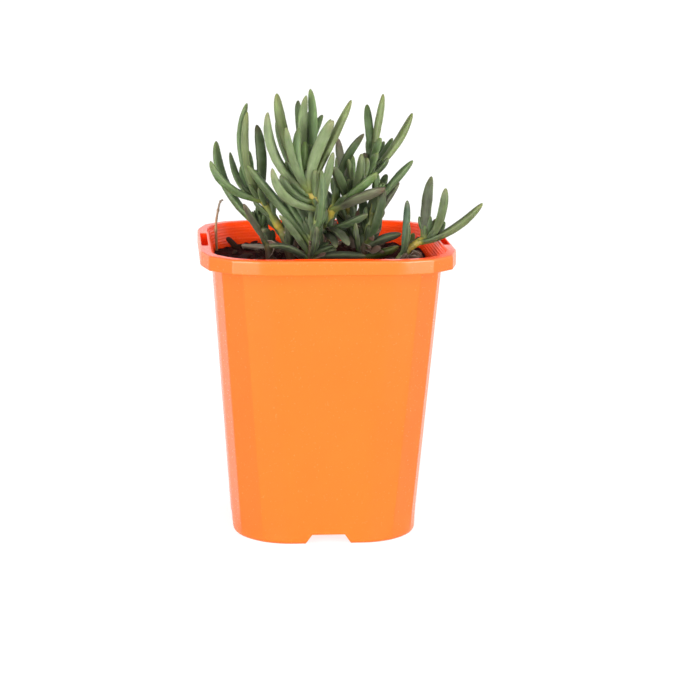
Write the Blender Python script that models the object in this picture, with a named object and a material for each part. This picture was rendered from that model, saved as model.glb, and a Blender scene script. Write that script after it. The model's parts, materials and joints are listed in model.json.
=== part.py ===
"""An ice plant in a square plastic pot: eight leafy shoots that stand in potting mix.

Sizes are in millimetres and become metres at the mesh. +X is to the right, +Y to the back, +Z up,
and the origin is the middle of the pot's base.
"""
import math
import random
from collections import namedtuple

import bmesh
import bpy
import numpy as np
from mathutils import Euler, Vector

MM = 0.001
GAP = 0.3

# Pot
POT_HEIGHT = 116.3
BASE_HALF = 36.8
BASE_CORNER = 22.6
NECK_HALF = 44.8
NECK_CORNER = 21.0
NECK_Z = 110.2
WALL = 1.1
RIM_HALF = 50.0
RIM_CORNER = 23.3
RIM_DEPTH = 5.7
RIM_SKIN = 0.8
RIM_TOP_SKIN = 1.1
RIM_CHAMFER = 0.4
MOUTH_HALF = 46.0
MOUTH_CORNER = 21.2
CORNER_FACETS = 3
RIB_COUNT = 8
RIB_PITCH = 1.15
RIB_RELIEF = 0.3
RIBS_LOW = POT_HEIGHT - (RIB_COUNT + 0.5) * RIB_PITCH
SLOT_LENGTH = 30.0
SLOT_NEAR = 46.5
SLOT_FAR = 49.2
MOUTH_SHELF = 1.0
LIP_FLARE = 1.2
CHANNEL_LOW = 18.4
CHANNEL_TOP = 13.0
CHANNEL_DEPTH = 4.0
CHANNEL_INNER_END = 17.0
DRAIN_RADIUS = 4.0
DRAIN_OUT = 25.0

# Potting mix
SOIL_Z = 104.0
SOIL_RISE = 3.0
SOIL_RISE_FROM = -14.0
SOIL_RISE_TO = 16.0
MOUND_HEIGHT = 3.2
MOUND_PLACE = (2.0, 21.0)
MOUND_REACH = 13.0
SOIL_ROUGHNESS = 0.9
SOIL_TOP = SOIL_Z + SOIL_RISE + MOUND_HEIGHT + 2 * SOIL_ROUGHNESS
SOIL_CELLS = 15
HOLE_OVER_SOIL = 4.0
CHIP_COUNT = 34
CHIP_SEED = 11
CHIP_LENGTH = (4.5, 8.5)
CHIP_WIDTH = (2.6, 4.6)
CHIP_THICKNESS = (1.4, 2.2)
CHIP_TILT = 0.25
CHIP_FROM_WALL = 6.0
CHIP_CLEAR_OF_STEM = 8.0
CHIP_SPACING = 6.5
STANDING_CHIP = (-35.2, 31.5)
STANDING_TILT = 0.9

# Shoots
STEM_RADIUS = 1.9
STEM_TIP_RADIUS = 1.3
STEM_STEPS = 2
FOOT_Z = 92.0
LEAF_STATIONS = (0.0, 0.18, 0.37, 0.55, 0.73, 0.87, 0.96)
LEAF_BACK = 0.8
LEAF_THICKNESS = 1.0
LEAF_SECTION = ((-0.5, 0.05), (-0.2, 0.33), (0.2, 0.33), (0.5, 0.05), (0.17, -0.5), (-0.17, -0.5))
LEAF_ROOT_WIDTH = 0.6
SHOULDER = 0.6
AXIS_STEPS = 60
ROOT_STEPS = 10

# A leaf leaves its stem at point number `at` of the stem. It points to `heading` degrees seen from above,
# rises at `lift` degrees and has risen by `curl` degrees more at its tip, and turns sideways by `swing`.
# `late` over 1 keeps the bend for the tip, under 1 has it near the root.
Leaf = namedtuple("Leaf", "at heading lift curl length width swing late", defaults=(0, 1.0))

LEFT_STEM = ((-12, 4, 104), (-15, 3, 115), (-18, 2, 121), (-21, 1, 126), (-24, 0, 131), (-27, 0, 134))
LEFT_LEAVES = (
    Leaf(4.3, -162, 15, 57, 28.5, 4.0, 0, 1.5),
    Leaf(4.8, 130, -17, 88, 27.5, 2.9, -15, 0.6),
    Leaf(4.9, 129, 45, 71, 39.5, 4.1, 6),
    Leaf(4.3, -151, 43, 58, 37.5, 3.4, 0, 0.6),
    Leaf(5.0, 114, -3, 91, 20.5, 2.7, -9, 1.4),
    Leaf(4.8, -19, 65, 37, 29, 4.8, -5, 0.4),
    Leaf(5.0, 106, 30, 47, 21, 3.2, -10),
    Leaf(2.1, 135, 54, 4, 20.5, 3.8, 0, 1.9),
    Leaf(0.6, -85, 61, -35, 16, 3.6, -28, 1.5),
    Leaf(1.2, 70, 48, 15, 16, 4.2),
    Leaf(1.4, 15, 48, 0, 14, 4.2),
)

LEFT_LOW_STEM = ((-21, 6, 104), (-22, 6, 114), (-23, 6, 116), (-25, 5, 120))
LEFT_LOW_LEAVES = (
    Leaf(3.0, 160, 41, 49, 41, 4.4, -40, 1.7),
    Leaf(0.9, -142, 51, 8, 22, 3.4, 0, 2.2),
    Leaf(1.6, 119, 71, -19, 14, 3.6),
    Leaf(0.8, -97, 67, -67, 13, 3.4, -22, 1.5),
)

MIDDLE_STEM = (
    (-6, -8, 105), (-6, -9, 111), (-5, -11, 118), (-4, -13, 125), (-3, -15, 130),
    (-5, -16, 134), (-8, -16, 139), (-9, -14, 143), (-9, -13, 147),
)
MIDDLE_LEAVES = (
    Leaf(1.6, 175, 53, -3, 41, 4.2),
    Leaf(1.0, -145, 53, -14, 24, 3.1, 0, 2.0),
    Leaf(1.9, 157, 56, -4, 21, 4.7),
    Leaf(1.9, 140, 64, -6, 22, 4.7),
    Leaf(2.2, 108, 23, 63, 17, 4.3, -6),
    Leaf(2.5, -81, 20, 98, 31, 2.8, 4),
    Leaf(4.2, -153, 11, 69, 31.5, 3.9, 26, 1.6),
    Leaf(5.1, -161, -22, 88, 18.5, 3.8, -6, 0.5),
    Leaf(5.8, 172, 20, 72, 36.5, 4.7, 0, 0.7),
    Leaf(7.0, 150, 30, 52, 35.5, 4.7, -15, 0.4),
    Leaf(6.7, 124, 15, 53, 30, 3.8, -4, 0.6),
    Leaf(5.8, -148, 31, 47, 29, 3.4, 12, 0.4),
    Leaf(7.2, 106, 77, -45, 33, 3.0, -22, 1.6),
    Leaf(7.2, 113, 81, 36, 32, 3.8, 4, 2.2),
    Leaf(7.4, 78, 59, -25, 29.5, 3.6, 0, 2.2),
    Leaf(7.3, 44, 32, 87, 36, 3.4, 27, 0.6),
    Leaf(7.3, 62, 64, -35, 28.5, 3.2, 0, 1.6),
    Leaf(5.8, -27, 94, -45, 32, 5.0, -28, 0.6),
    Leaf(5.8, 20, 63, -1, 39.5, 3.8),
    Leaf(6.7, -25, 76, -19, 27, 3.6),
    Leaf(6.0, -144, 52, 56, 25.5, 3.8),
    Leaf(7.5, -85, 67, 29, 12.5, 3.4),
    Leaf(7.5, 107, 62, 12, 9.5, 3.2),
    Leaf(5.1, -85, 80, -16, 13, 2.8),
    Leaf(3.8, -25, 79, -6, 25, 3.8, 0, 2.2),
    Leaf(0.8, -78, 35, 35, 19, 2.4, -7),
    Leaf(0.7, -151, 35, -42, 21, 3.4, 0, 1.9),
    Leaf(0.7, -14, 31, -38, 23, 3.8, 0, 0.5),
    Leaf(1.1, 14, 15, -16, 11, 4.8),
    Leaf(1.4, 68, 30, 20, 15, 4.4),
)

RIGHT_STEM = (
    (0, 6, 104), (1, 5, 115), (2, 2, 123), (4, 0, 129), (10, 4, 133), (15, 9, 137), (19, 12, 141), (20, 14, 145),
)
RIGHT_LEAVES = (
    Leaf(2.9, -33, 26, -9, 26, 5.0, -9, 2.2),
    Leaf(3.0, -31, 36, 5, 24.5, 4.3, 0, 0.6),
    Leaf(3.9, -117, 48, -9, 20.5, 4.3),
    Leaf(3.0, -11, 91, -48, 34, 4.0, -28),
    Leaf(4.2, 122, 53, 30, 23.5, 3.6),
    Leaf(4.3, -99, 54, -12, 20.5, 2.5, -5),
    Leaf(4.3, -77, 15, 73, 24, 3.6, -9),
    Leaf(5.2, 62, 49, 53, 12.5, 3.8),
    Leaf(6.9, 2, 81, -1, 29, 3.7),
    Leaf(6.7, 114, 93, -50, 26.5, 3.4, -28, 1.3),
    Leaf(6.3, 11, 15, 50, 30, 4.0, 10, 0.4),
    Leaf(6.5, 47, 19, 35, 19, 3.2),
    Leaf(6.7, -67, 56, 1, 15, 3.2),
    Leaf(6.5, 64, 17, 25, 19, 2.7),
    Leaf(5.6, -68, 52, -6, 15, 3.4),
    Leaf(5.1, -80, 32, 28, 16.5, 3.1, -6),
    Leaf(5.5, -4, 26, 33, 13, 3.0),
    Leaf(1.6, -68, 9, -38, 21.5, 3.5, -4),
    Leaf(1.2, -79, 18, -46, 19.5, 3.4, -6),
    Leaf(1.5, -40, 13, 16, 21, 3.8, 5, 0.5),
    Leaf(1.3, 150, 42, 20, 15, 4.4),
    Leaf(1.7, 62, 45, 15, 17, 4.2),
    Leaf(1.0, 105, 30, 20, 14, 4.4),
)

SIDE_STEM = ((14, 2, 104), (16, 1, 111), (18, 1, 118), (19, 1, 124), (21, 1, 131), (21, 1, 133))
SIDE_LEAVES = (
    Leaf(1.4, -45, 34, 47, 26, 3.9, -5, 0.4),
    Leaf(1.2, 53, 48, 41, 21, 4.5, 9, 0.7),
    Leaf(3.9, 11, 50, -7, 23, 3.8, 0, 1.9),
    Leaf(2.5, 30, 53, -12, 22.5, 3.8, 0, 2.2),
    Leaf(4.4, 56, 47, 0, 12.5, 3.2),
    Leaf(1.1, -8, 54, -45, 17, 4.3, 0, 0.5),
    Leaf(0.6, -16, 13, 11, 16.5, 4.1),
    Leaf(0.7, -111, 29, 38, 21.5, 2.3, 13),
    Leaf(1.1, 74, 58, -7, 20, 3.8, 19),
    Leaf(1.4, 52, 7, 93, 18, 3.4, 4, 1.3),
    Leaf(1.2, 128, 40, 20, 16, 4.2),
    Leaf(2.0, 100, 50, 10, 17, 4.0),
)

FAR_RIGHT_STEM = ((28, -12, 107), (31, -12, 112), (34, -12, 115), (37, -12, 117), (40, -11, 118))
FAR_RIGHT_LEAVES = (
    Leaf(0.9, 49, 78, 15, 22, 3.0, 0, 1.6),
    Leaf(0.9, -80, 38, 47, 17, 2.2, -5),
    Leaf(1.3, 61, 18, 34, 11, 2.7, 7),
    Leaf(3.7, 55, 84, -14, 25.5, 4.4, -15, 2.2),
    Leaf(4.0, -42, 7, 78, 25.5, 3.7, -25, 0.4),
    Leaf(4.0, 35, 2, 67, 12.5, 2.9, 4, 1.3),
    Leaf(3.2, -10, -6, 54, 29.5, 4.1, 7, 0.4),
    Leaf(4.0, 59, 17, 30, 12.5, 2.7, 6),
)

BACK_LEFT_STEM = ((-9, 24, 104), (-10, 26, 112), (-11, 28, 120), (-12, 30, 126))
BACK_LEFT_LEAVES = (
    Leaf(0.8, 60, 40, 30, 20, 3.8),
    Leaf(0.9, 170, 38, 35, 21, 3.8),
    Leaf(1.7, 105, 35, 40, 24, 4.1),
    Leaf(1.8, -20, 62, 15, 20, 3.6),
    Leaf(2.6, 60, 52, 25, 22, 3.8),
    Leaf(2.7, 150, 48, 30, 14, 3.8),
    Leaf(2.9, 95, 68, 15, 20, 3.4),
    Leaf(1.1, 10, 22, 25, 15, 4.2),
    Leaf(1.2, -175, 26, 20, 17, 4.2),
    Leaf(1.9, 35, 36, 20, 18, 4.0),
)

BACK_RIGHT_STEM = ((14, 26, 104), (14, 28, 112), (13, 29, 120), (13, 31, 127))
BACK_RIGHT_LEAVES = (
    Leaf(0.8, 20, 40, 30, 20, 3.8),
    Leaf(0.9, 125, 38, 35, 21, 3.8),
    Leaf(1.7, 75, 35, 40, 24, 4.1),
    Leaf(1.8, 170, 58, 20, 20, 3.6),
    Leaf(2.6, 20, 52, 25, 22, 3.8),
    Leaf(2.7, 120, 50, 30, 22, 3.8),
    Leaf(2.9, 70, 68, 15, 20, 3.4),
    Leaf(1.1, 165, 22, 25, 14, 4.2),
    Leaf(1.2, -5, 26, 20, 17, 4.2),
    Leaf(1.9, 145, 36, 20, 16, 4.0),
)

Shoot = namedtuple("Shoot", "name stem leaves colour")
GREY_GREEN = (0.20, 0.27, 0.15)
DEEP_GREEN = (0.10, 0.16, 0.07)
SHOOTS = (
    Shoot("shoot_left", LEFT_STEM, LEFT_LEAVES, GREY_GREEN),
    Shoot("shoot_left_low", LEFT_LOW_STEM, LEFT_LOW_LEAVES, DEEP_GREEN),
    Shoot("shoot_middle", MIDDLE_STEM, MIDDLE_LEAVES, GREY_GREEN),
    Shoot("shoot_right", RIGHT_STEM, RIGHT_LEAVES, GREY_GREEN),
    Shoot("shoot_side", SIDE_STEM, SIDE_LEAVES, DEEP_GREEN),
    Shoot("shoot_far_right", FAR_RIGHT_STEM, FAR_RIGHT_LEAVES, GREY_GREEN),
    Shoot("shoot_back_left", BACK_LEFT_STEM, BACK_LEFT_LEAVES, DEEP_GREEN),
    Shoot("shoot_back_right", BACK_RIGHT_STEM, BACK_RIGHT_LEAVES, DEEP_GREEN),
)

# Dry twig and fallen leaf
TWIG_PATH = (
    (-40.8, 24, 94), (-41.7, 24, 103), (-42.3, 24, 112), (-42.4, 24, 119), (-41.5, 24, 124.5), (-40.7, 24, 127.6),
    (-39.5, 24, 128.7),
)
TWIG_RADIUS = 0.55
FALLEN_LEAF_FOOT = (-30.5, 27.0)
FALLEN_LEAF_HEADING = -33
FALLEN_TURN = math.radians(FALLEN_LEAF_HEADING)
FALLEN_LEAF_LENGTH = 14
FALLEN_LEAF_WIDTH = 3.4
FALLEN_LEAF_SETTLED = 0.4


def clear_scene():
    for item in list(bpy.data.objects):
        bpy.data.objects.remove(item, do_unlink=True)


def make_collection(name):
    collection = bpy.data.collections.new(name)
    bpy.context.scene.collection.children.link(collection)
    return collection


def make_material(name, colour, roughness, metallic=0.0):
    material = bpy.data.materials.new(name)
    material.use_nodes = True
    shader = material.node_tree.nodes["Principled BSDF"]
    shader.inputs["Base Color"].default_value = (*colour, 1.0)
    shader.inputs["Roughness"].default_value = roughness
    shader.inputs["Metallic"].default_value = metallic
    return material


def add_object(name, mesh, collection, material=None):
    item = bpy.data.objects.new(name, mesh)
    collection.objects.link(item)
    if material:
        mesh.materials.append(material)
    return item


def hide_cutter(item):
    item.hide_render = True
    item.display_type = "WIRE"
    return item


def loft(name, rings, tip=None):
    """A closed mesh through rings of the same number of points, its ends capped or drawn to a tip."""
    work = bmesh.new()
    rows = [[work.verts.new(Vector(point) * MM) for point in ring] for ring in rings]
    count = len(rings[0])
    for low, high in zip(rows, rows[1:]):
        for k in range(count):
            work.faces.new((low[k], low[(k + 1) % count], high[(k + 1) % count], high[k]))
    work.faces.new(rows[0][::-1])
    if tip is None:
        work.faces.new(rows[-1])
    else:
        end = work.verts.new(Vector(tip) * MM)
        for k in range(count):
            work.faces.new((rows[-1][k], rows[-1][(k + 1) % count], end))
    bmesh.ops.recalc_face_normals(work, faces=work.faces)
    mesh = bpy.data.meshes.new(name)
    work.to_mesh(mesh)
    work.free()
    return mesh


def boolean(item, operation, cutter=None, collection=None, solver="EXACT"):
    """Apply one Boolean on an object and return it."""
    modifier = item.modifiers.new("cut", "BOOLEAN")
    modifier.operation = operation
    modifier.solver = solver
    if collection:
        modifier.operand_type = "COLLECTION"
        modifier.collection = collection
    else:
        modifier.object = cutter
    bpy.context.view_layer.update()
    shape = item.evaluated_get(bpy.context.evaluated_depsgraph_get())
    mesh = bpy.data.meshes.new_from_object(shape)
    item.modifiers.clear()
    item.data = mesh
    return item


def drop_collection(collection):
    for item in list(collection.objects):
        bpy.data.objects.remove(item, do_unlink=True)
    bpy.data.collections.remove(collection)


def keep_largest_body(item):
    """Drop what is not joined to the largest body: loose scraps, and the skins of sealed hollows."""
    work = bmesh.new()
    work.from_mesh(item.data)
    seen = set()
    bodies = []
    for start in work.verts:
        if start in seen:
            continue
        seen.add(start)
        body = [start]
        for vert in body:
            for edge in vert.link_edges:
                other = edge.other_vert(vert)
                if other not in seen:
                    seen.add(other)
                    body.append(other)
        bodies.append(body)
    largest = max(bodies, key=len)
    for body in bodies:
        if body is not largest:
            bmesh.ops.delete(work, geom=body, context="VERTS")
    work.to_mesh(item.data)
    work.free()
    return item


def square_outline(half, corner, z):
    """A square with rounded corners, each of a few flat facets, counter-clockwise from above."""
    points = []
    for quarter, (side_x, side_y) in enumerate(((1, 1), (-1, 1), (-1, -1), (1, -1))):
        for step in range(CORNER_FACETS + 1):
            angle = (quarter + step / CORNER_FACETS) * math.pi / 2
            x = side_x * (half - corner) + corner * math.cos(angle)
            y = side_y * (half - corner) + corner * math.sin(angle)
            points.append((x, y, z))
    return points


def body_half(z):
    """Half width of the pot's body outside, at a height."""
    return BASE_HALF + (NECK_HALF - BASE_HALF) * z / NECK_Z


def body_corner(z):
    return BASE_CORNER + (NECK_CORNER - BASE_CORNER) * z / NECK_Z


def inner_ring(z, clear):
    """The pot's inside at a height, smaller all round by `clear`."""
    return square_outline(body_half(z) - WALL - clear, body_corner(z) - WALL - clear, z)


def cavity_rings():
    """The pot's inside: plain walls, fine level ribs under the rim, and a lip that flares a little."""
    shoulder = NECK_Z - WALL
    slope = (MOUTH_HALF - (NECK_HALF - WALL)) / (POT_HEIGHT - shoulder)
    rings = [inner_ring(WALL, 0)]
    for number in range(2 * RIB_COUNT):
        z = RIBS_LOW + number * RIB_PITCH / 2
        half = min(body_half(z), NECK_HALF) - WALL + max(z - shoulder, 0) * slope
        groove = RIB_RELIEF * (number % 2)
        rings.append(square_outline(half - groove, body_corner(min(z, NECK_Z)) - WALL - groove, z))
    rings.append(square_outline(MOUTH_HALF, MOUTH_CORNER, POT_HEIGHT - RIM_CHAMFER))
    flare_top = POT_HEIGHT - RIM_CHAMFER + LIP_FLARE
    rings.append(square_outline(MOUTH_HALF + LIP_FLARE, MOUTH_CORNER + LIP_FLARE, flare_top))
    return rings


def soil_rings():
    """The potting mix's sides: clear of the wall, and upright past the lowest rib."""
    outline = inner_ring(RIBS_LOW, GAP + RIB_RELIEF)
    return [inner_ring(WALL + GAP, GAP), outline, [(x, y, SOIL_TOP) for x, y, _ in outline]]


def bar(name, turn, near, far, low, top, z_low, z_top, collection):
    """A bar of trapezoid section that runs outwards to one side of the pot, made from a cube."""
    angle = turn * math.pi / 2
    work = bmesh.new()
    bmesh.ops.create_cube(work, size=2.0)
    for vert in work.verts:
        out = far if vert.co.x > 0 else near
        across = vert.co.y * (top if vert.co.z > 0 else low) / 2
        z = z_top if vert.co.z > 0 else z_low
        x = out * math.cos(angle) - across * math.sin(angle)
        y = out * math.sin(angle) + across * math.cos(angle)
        vert.co = Vector((x, y, z)) * MM
    mesh = bpy.data.meshes.new(name)
    work.to_mesh(mesh)
    work.free()
    return hide_cutter(add_object(name, mesh, collection))


def rod_cutter(name, x, y, radius, z_low, z_top, collection):
    work = bmesh.new()
    bmesh.ops.create_cone(
        work, cap_ends=True, segments=12, radius1=radius * MM, radius2=radius * MM, depth=(z_top - z_low) * MM)
    bmesh.ops.translate(work, verts=work.verts, vec=Vector((x, y, (z_low + z_top) / 2)) * MM)
    mesh = bpy.data.meshes.new(name)
    work.to_mesh(mesh)
    work.free()
    return hide_cutter(add_object(name, mesh, collection))


def channel_bars(grow, collection):
    """A drain channel under the floor at each side, or with `grow` the raised floor that covers it."""
    slant = (CHANNEL_LOW - CHANNEL_TOP) / CHANNEL_DEPTH
    low = CHANNEL_LOW + slant * CHANNEL_DEPTH + 2 * grow
    top = CHANNEL_TOP + 2 * grow
    for turn in range(4):
        bar(f"channel_{turn}", turn, CHANNEL_INNER_END - grow, RIM_HALF, low, top, -CHANNEL_DEPTH,
            CHANNEL_DEPTH + grow, collection)


def build_pot(collection, cutters):
    """Thin-walled body that widens upwards, a folded rim, and a floor raised over drain channels.

    Each side of the rim has a pocket for a label: a slot in its top, closed below and at both ends.
    """
    outside = [
        square_outline(BASE_HALF - RIM_CHAMFER, BASE_CORNER - RIM_CHAMFER, 0),
        square_outline(BASE_HALF, BASE_CORNER, RIM_CHAMFER),
        square_outline(NECK_HALF, NECK_CORNER, NECK_Z),
        square_outline(MOUTH_HALF + MOUTH_SHELF, MOUTH_CORNER + MOUTH_SHELF, POT_HEIGHT - RIM_TOP_SKIN),
        square_outline(RIM_HALF - RIM_SKIN, RIM_CORNER - RIM_SKIN, POT_HEIGHT - RIM_TOP_SKIN),
        square_outline(RIM_HALF - RIM_SKIN, RIM_CORNER - RIM_SKIN, POT_HEIGHT - RIM_DEPTH),
        square_outline(RIM_HALF, RIM_CORNER, POT_HEIGHT - RIM_DEPTH),
        square_outline(RIM_HALF, RIM_CORNER, POT_HEIGHT - RIM_CHAMFER),
        square_outline(RIM_HALF - RIM_CHAMFER, RIM_CORNER - RIM_CHAMFER, POT_HEIGHT),
    ]
    pot = add_object("pot", loft("pot", outside), collection)

    pockets = make_collection("pockets")
    pocket_low = POT_HEIGHT - RIM_DEPTH + RIM_CHAMFER / 2
    pocket = (NECK_HALF - RIM_CHAMFER, RIM_HALF - RIM_SKIN / 2, SLOT_LENGTH + 2 * WALL, SLOT_LENGTH + 2 * WALL)
    for turn in range(4):
        bar(f"pocket_{turn}", turn, *pocket, pocket_low, POT_HEIGHT - RIM_TOP_SKIN / 2, pockets)
    boolean(pot, "UNION", collection=pockets)
    drop_collection(pockets)

    cavity = add_object("cavity", loft("cavity", cavity_rings()), cutters)
    hide_cutter(cavity)
    raised = make_collection("raised_floor")
    channel_bars(WALL, raised)
    boolean(cavity, "DIFFERENCE", collection=raised)
    drop_collection(raised)
    boolean(pot, "DIFFERENCE", cutter=cavity)

    openings = make_collection("pot_openings")
    channel_bars(0, openings)
    slot_low, slot_top = pocket_low + RIM_SKIN, POT_HEIGHT + RIM_SKIN
    for turn in range(4):
        angle = turn * math.pi / 2
        x, y = DRAIN_OUT * math.cos(angle), DRAIN_OUT * math.sin(angle)
        rod_cutter(f"drain_{turn}", x, y, DRAIN_RADIUS, WALL, 2 * CHANNEL_DEPTH, openings)
        bar(f"slot_{turn}", turn, SLOT_NEAR, SLOT_FAR, SLOT_LENGTH, SLOT_LENGTH, slot_low, slot_top, openings)
    boolean(pot, "DIFFERENCE", collection=openings)
    drop_collection(openings)
    keep_largest_body(pot)
    pot.data.materials.clear()
    pot.data.materials.append(make_material("terracotta_plastic", (1.0, 0.26, 0.06), 0.42))
    return pot


def soil_height(x, y):
    """Height of the potting mix: it rises towards the back, with a mound there and lumps from crossed waves."""
    lumps = 0.5 * math.sin(0.31 * x + 1.1) * math.cos(0.27 * y - 0.4)
    lumps += 0.3 * math.sin(0.63 * x - 0.52 * y + 2.0) + 0.2 * math.cos(0.9 * y + 0.7 * x)
    share = min(max((y - SOIL_RISE_FROM) / (SOIL_RISE_TO - SOIL_RISE_FROM), 0), 1)
    rise = SOIL_RISE * share * share * (3 - 2 * share)
    away = math.hypot(x - MOUND_PLACE[0], y - MOUND_PLACE[1]) / MOUND_REACH
    return SOIL_Z + rise + MOUND_HEIGHT * math.exp(-away * away) + SOIL_ROUGHNESS * lumps


def smooth_path(points, steps):
    """Points on a smooth curve that passes through all the given ones."""
    points = np.array(points, dtype=float)
    padded = np.vstack([2 * points[0] - points[1], points, 2 * points[-1] - points[-2]])
    path = []
    for k in range(len(points) - 1):
        before, start, end, after = padded[k:k + 4]
        for t in np.arange(steps) / steps:
            path.append(0.5 * (2 * start + (end - before) * t + (2 * before - 5 * start + 4 * end - after) * t ** 2
                               + (3 * start - before - 3 * end + after) * t ** 3))
    path.append(points[-1])
    return np.array(path)


def stem_points(stem):
    """A stem's points with its foot below the soil put first."""
    first, second = np.array(stem[0], float), np.array(stem[1], float)
    lean = (second - first) / (second - first)[2]
    foot = first - lean * (first[2] - FOOT_Z) / 2
    foot[2] = FOOT_Z
    return [tuple(foot)] + list(stem)


def tube(name, path, radii, collection):
    """A round tube along a path as a mesh, made from a curve with filled caps."""
    curve = bpy.data.curves.new(name, "CURVE")
    curve.dimensions = "3D"
    curve.bevel_depth = 1.0 * MM
    curve.bevel_resolution = 2
    curve.use_fill_caps = True
    spline = curve.splines.new("POLY")
    spline.points.add(len(path) - 1)
    for point, place, radius in zip(spline.points, path, radii):
        point.co = (*(Vector(place) * MM), 1.0)
        point.radius = radius
    guide = bpy.data.objects.new(name + "_curve", curve)
    collection.objects.link(guide)
    bpy.context.view_layer.update()
    mesh = bpy.data.meshes.new_from_object(guide.evaluated_get(bpy.context.evaluated_depsgraph_get()))
    work = bmesh.new()
    work.from_mesh(mesh)
    bmesh.ops.remove_doubles(work, verts=work.verts, dist=1e-6)
    bmesh.ops.recalc_face_normals(work, faces=work.faces)
    work.to_mesh(mesh)
    work.free()
    mesh.name = name
    item = add_object(name, mesh, collection)
    item.matrix_world = guide.matrix_world
    bpy.data.objects.remove(guide, do_unlink=True)
    return item


def leaf_width(s):
    """Width along a leaf, from 0 to 1: it swells from the root to a shoulder and closes to a rounded point."""
    grow = LEAF_ROOT_WIDTH + (1 - LEAF_ROOT_WIDTH) * math.sin(math.pi / 2 * min(s / SHOULDER, 1))
    past = max(s - SHOULDER, 0) / (1 - SHOULDER)
    return grow * math.sqrt(max(1 - past ** 2.4, 0))


def leaf_mesh(name, root, leaf):
    """A three-sided leaf: flat above, keeled below, lofted along an axis that bends as the leaf's values say."""
    middle = (np.arange(AXIS_STEPS) + 0.5) / AXIS_STEPS
    rise = np.radians(leaf.lift + leaf.curl * middle ** leaf.late)
    turn = np.radians(leaf.heading + leaf.swing * middle ** leaf.late)
    along = np.stack([np.cos(rise) * np.cos(turn), np.cos(rise) * np.sin(turn), np.sin(rise)], 1)
    axis = np.vstack([root, root + np.cumsum(along, 0) * leaf.length / AXIS_STEPS])
    rings = []
    for s in LEAF_STATIONS:
        place = min(int(round(s * AXIS_STEPS)), AXIS_STEPS - 1)
        centre = axis[place] - (along[0] * LEAF_BACK if s == 0 else 0)
        side = np.array([-math.sin(turn[place]), math.cos(turn[place]), 0])
        up = np.cross(along[place], side)
        width = leaf.width * leaf_width(s)
        ring = [centre + side * a * width + up * b * width * LEAF_THICKNESS for a, b in LEAF_SECTION]
        rings.append([tuple(point) for point in ring])
    return loft(name, rings, tip=tuple(axis[-1]))


def build_shoot(shoot, collection):
    """One stem with its leaves, fused in one body."""
    points = stem_points(shoot.stem)
    path = smooth_path(points, STEM_STEPS)
    last = len(path) - 1
    radii = [STEM_RADIUS + (STEM_TIP_RADIUS - STEM_RADIUS) * k / last for k in range(last + 1)]
    stem = tube(shoot.name, path, radii, collection)
    roots = smooth_path(points, ROOT_STEPS)
    leaves = make_collection(shoot.name + "_leaves")
    for number, leaf in enumerate(shoot.leaves):
        root = roots[int(round((leaf.at + 1) * ROOT_STEPS))]
        add_object(f"leaf_{number}", leaf_mesh(f"leaf_{number}", root, leaf), leaves)
    boolean(stem, "UNION", collection=leaves, solver="MANIFOLD")
    drop_collection(leaves)
    keep_largest_body(stem)
    stem.data.materials.clear()
    stem.data.materials.append(make_material(shoot.name + "_leaf", shoot.colour, 0.6))
    return stem


def chip_mesh(name, x, y, rng, standing=False):
    """A bark chip: a flat block with uneven ends, half sunk in the mix and tilted, or leaning out of it."""
    size = Vector((rng.uniform(*CHIP_LENGTH), rng.uniform(*CHIP_WIDTH), rng.uniform(*CHIP_THICKNESS)))
    tilt = rng.uniform(-CHIP_TILT, CHIP_TILT) + (STANDING_TILT if standing else 0)
    turned = Euler((rng.uniform(-CHIP_TILT, CHIP_TILT), tilt, rng.uniform(0, math.pi)))
    place = Vector((x, y, soil_height(x, y) + (0.3 * size.x if standing else -0.1 * size.z)))
    work = bmesh.new()
    bmesh.ops.create_cube(work, size=1.0)
    for vert in work.verts:
        vert.co = vert.co * size
        vert.co.y *= rng.uniform(0.65, 1.0)
        vert.co.rotate(turned)
        vert.co = (vert.co + place) * MM
    bmesh.ops.triangulate(work, faces=work.faces)
    mesh = bpy.data.meshes.new(name)
    work.to_mesh(mesh)
    work.free()
    return mesh


def inside_pot(x, y, half, corner):
    """Whether a point lies inside a square with rounded corners."""
    over_x, over_y = max(abs(x) - (half - corner), 0), max(abs(y) - (half - corner), 0)
    return math.hypot(over_x, over_y) < corner


def chip_places(holes):
    """Places for bark chips, drawn at random, clear of the stems, the pot's wall and each other."""
    rng = random.Random(CHIP_SEED)
    reach = body_half(SOIL_Z) - WALL - CHIP_FROM_WALL
    places = []
    while len(places) < CHIP_COUNT:
        x, y = rng.uniform(-reach, reach), rng.uniform(-reach, reach)
        clear = inside_pot(x, y, reach, NECK_CORNER - CHIP_FROM_WALL)
        clear = clear and all(math.hypot(x - a, y - b) > CHIP_CLEAR_OF_STEM for a, b in holes)
        clear = clear and all(math.hypot(x - a, y - b) > CHIP_SPACING for a, b in places)
        if clear:
            places.append((x, y))
    return places


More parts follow.
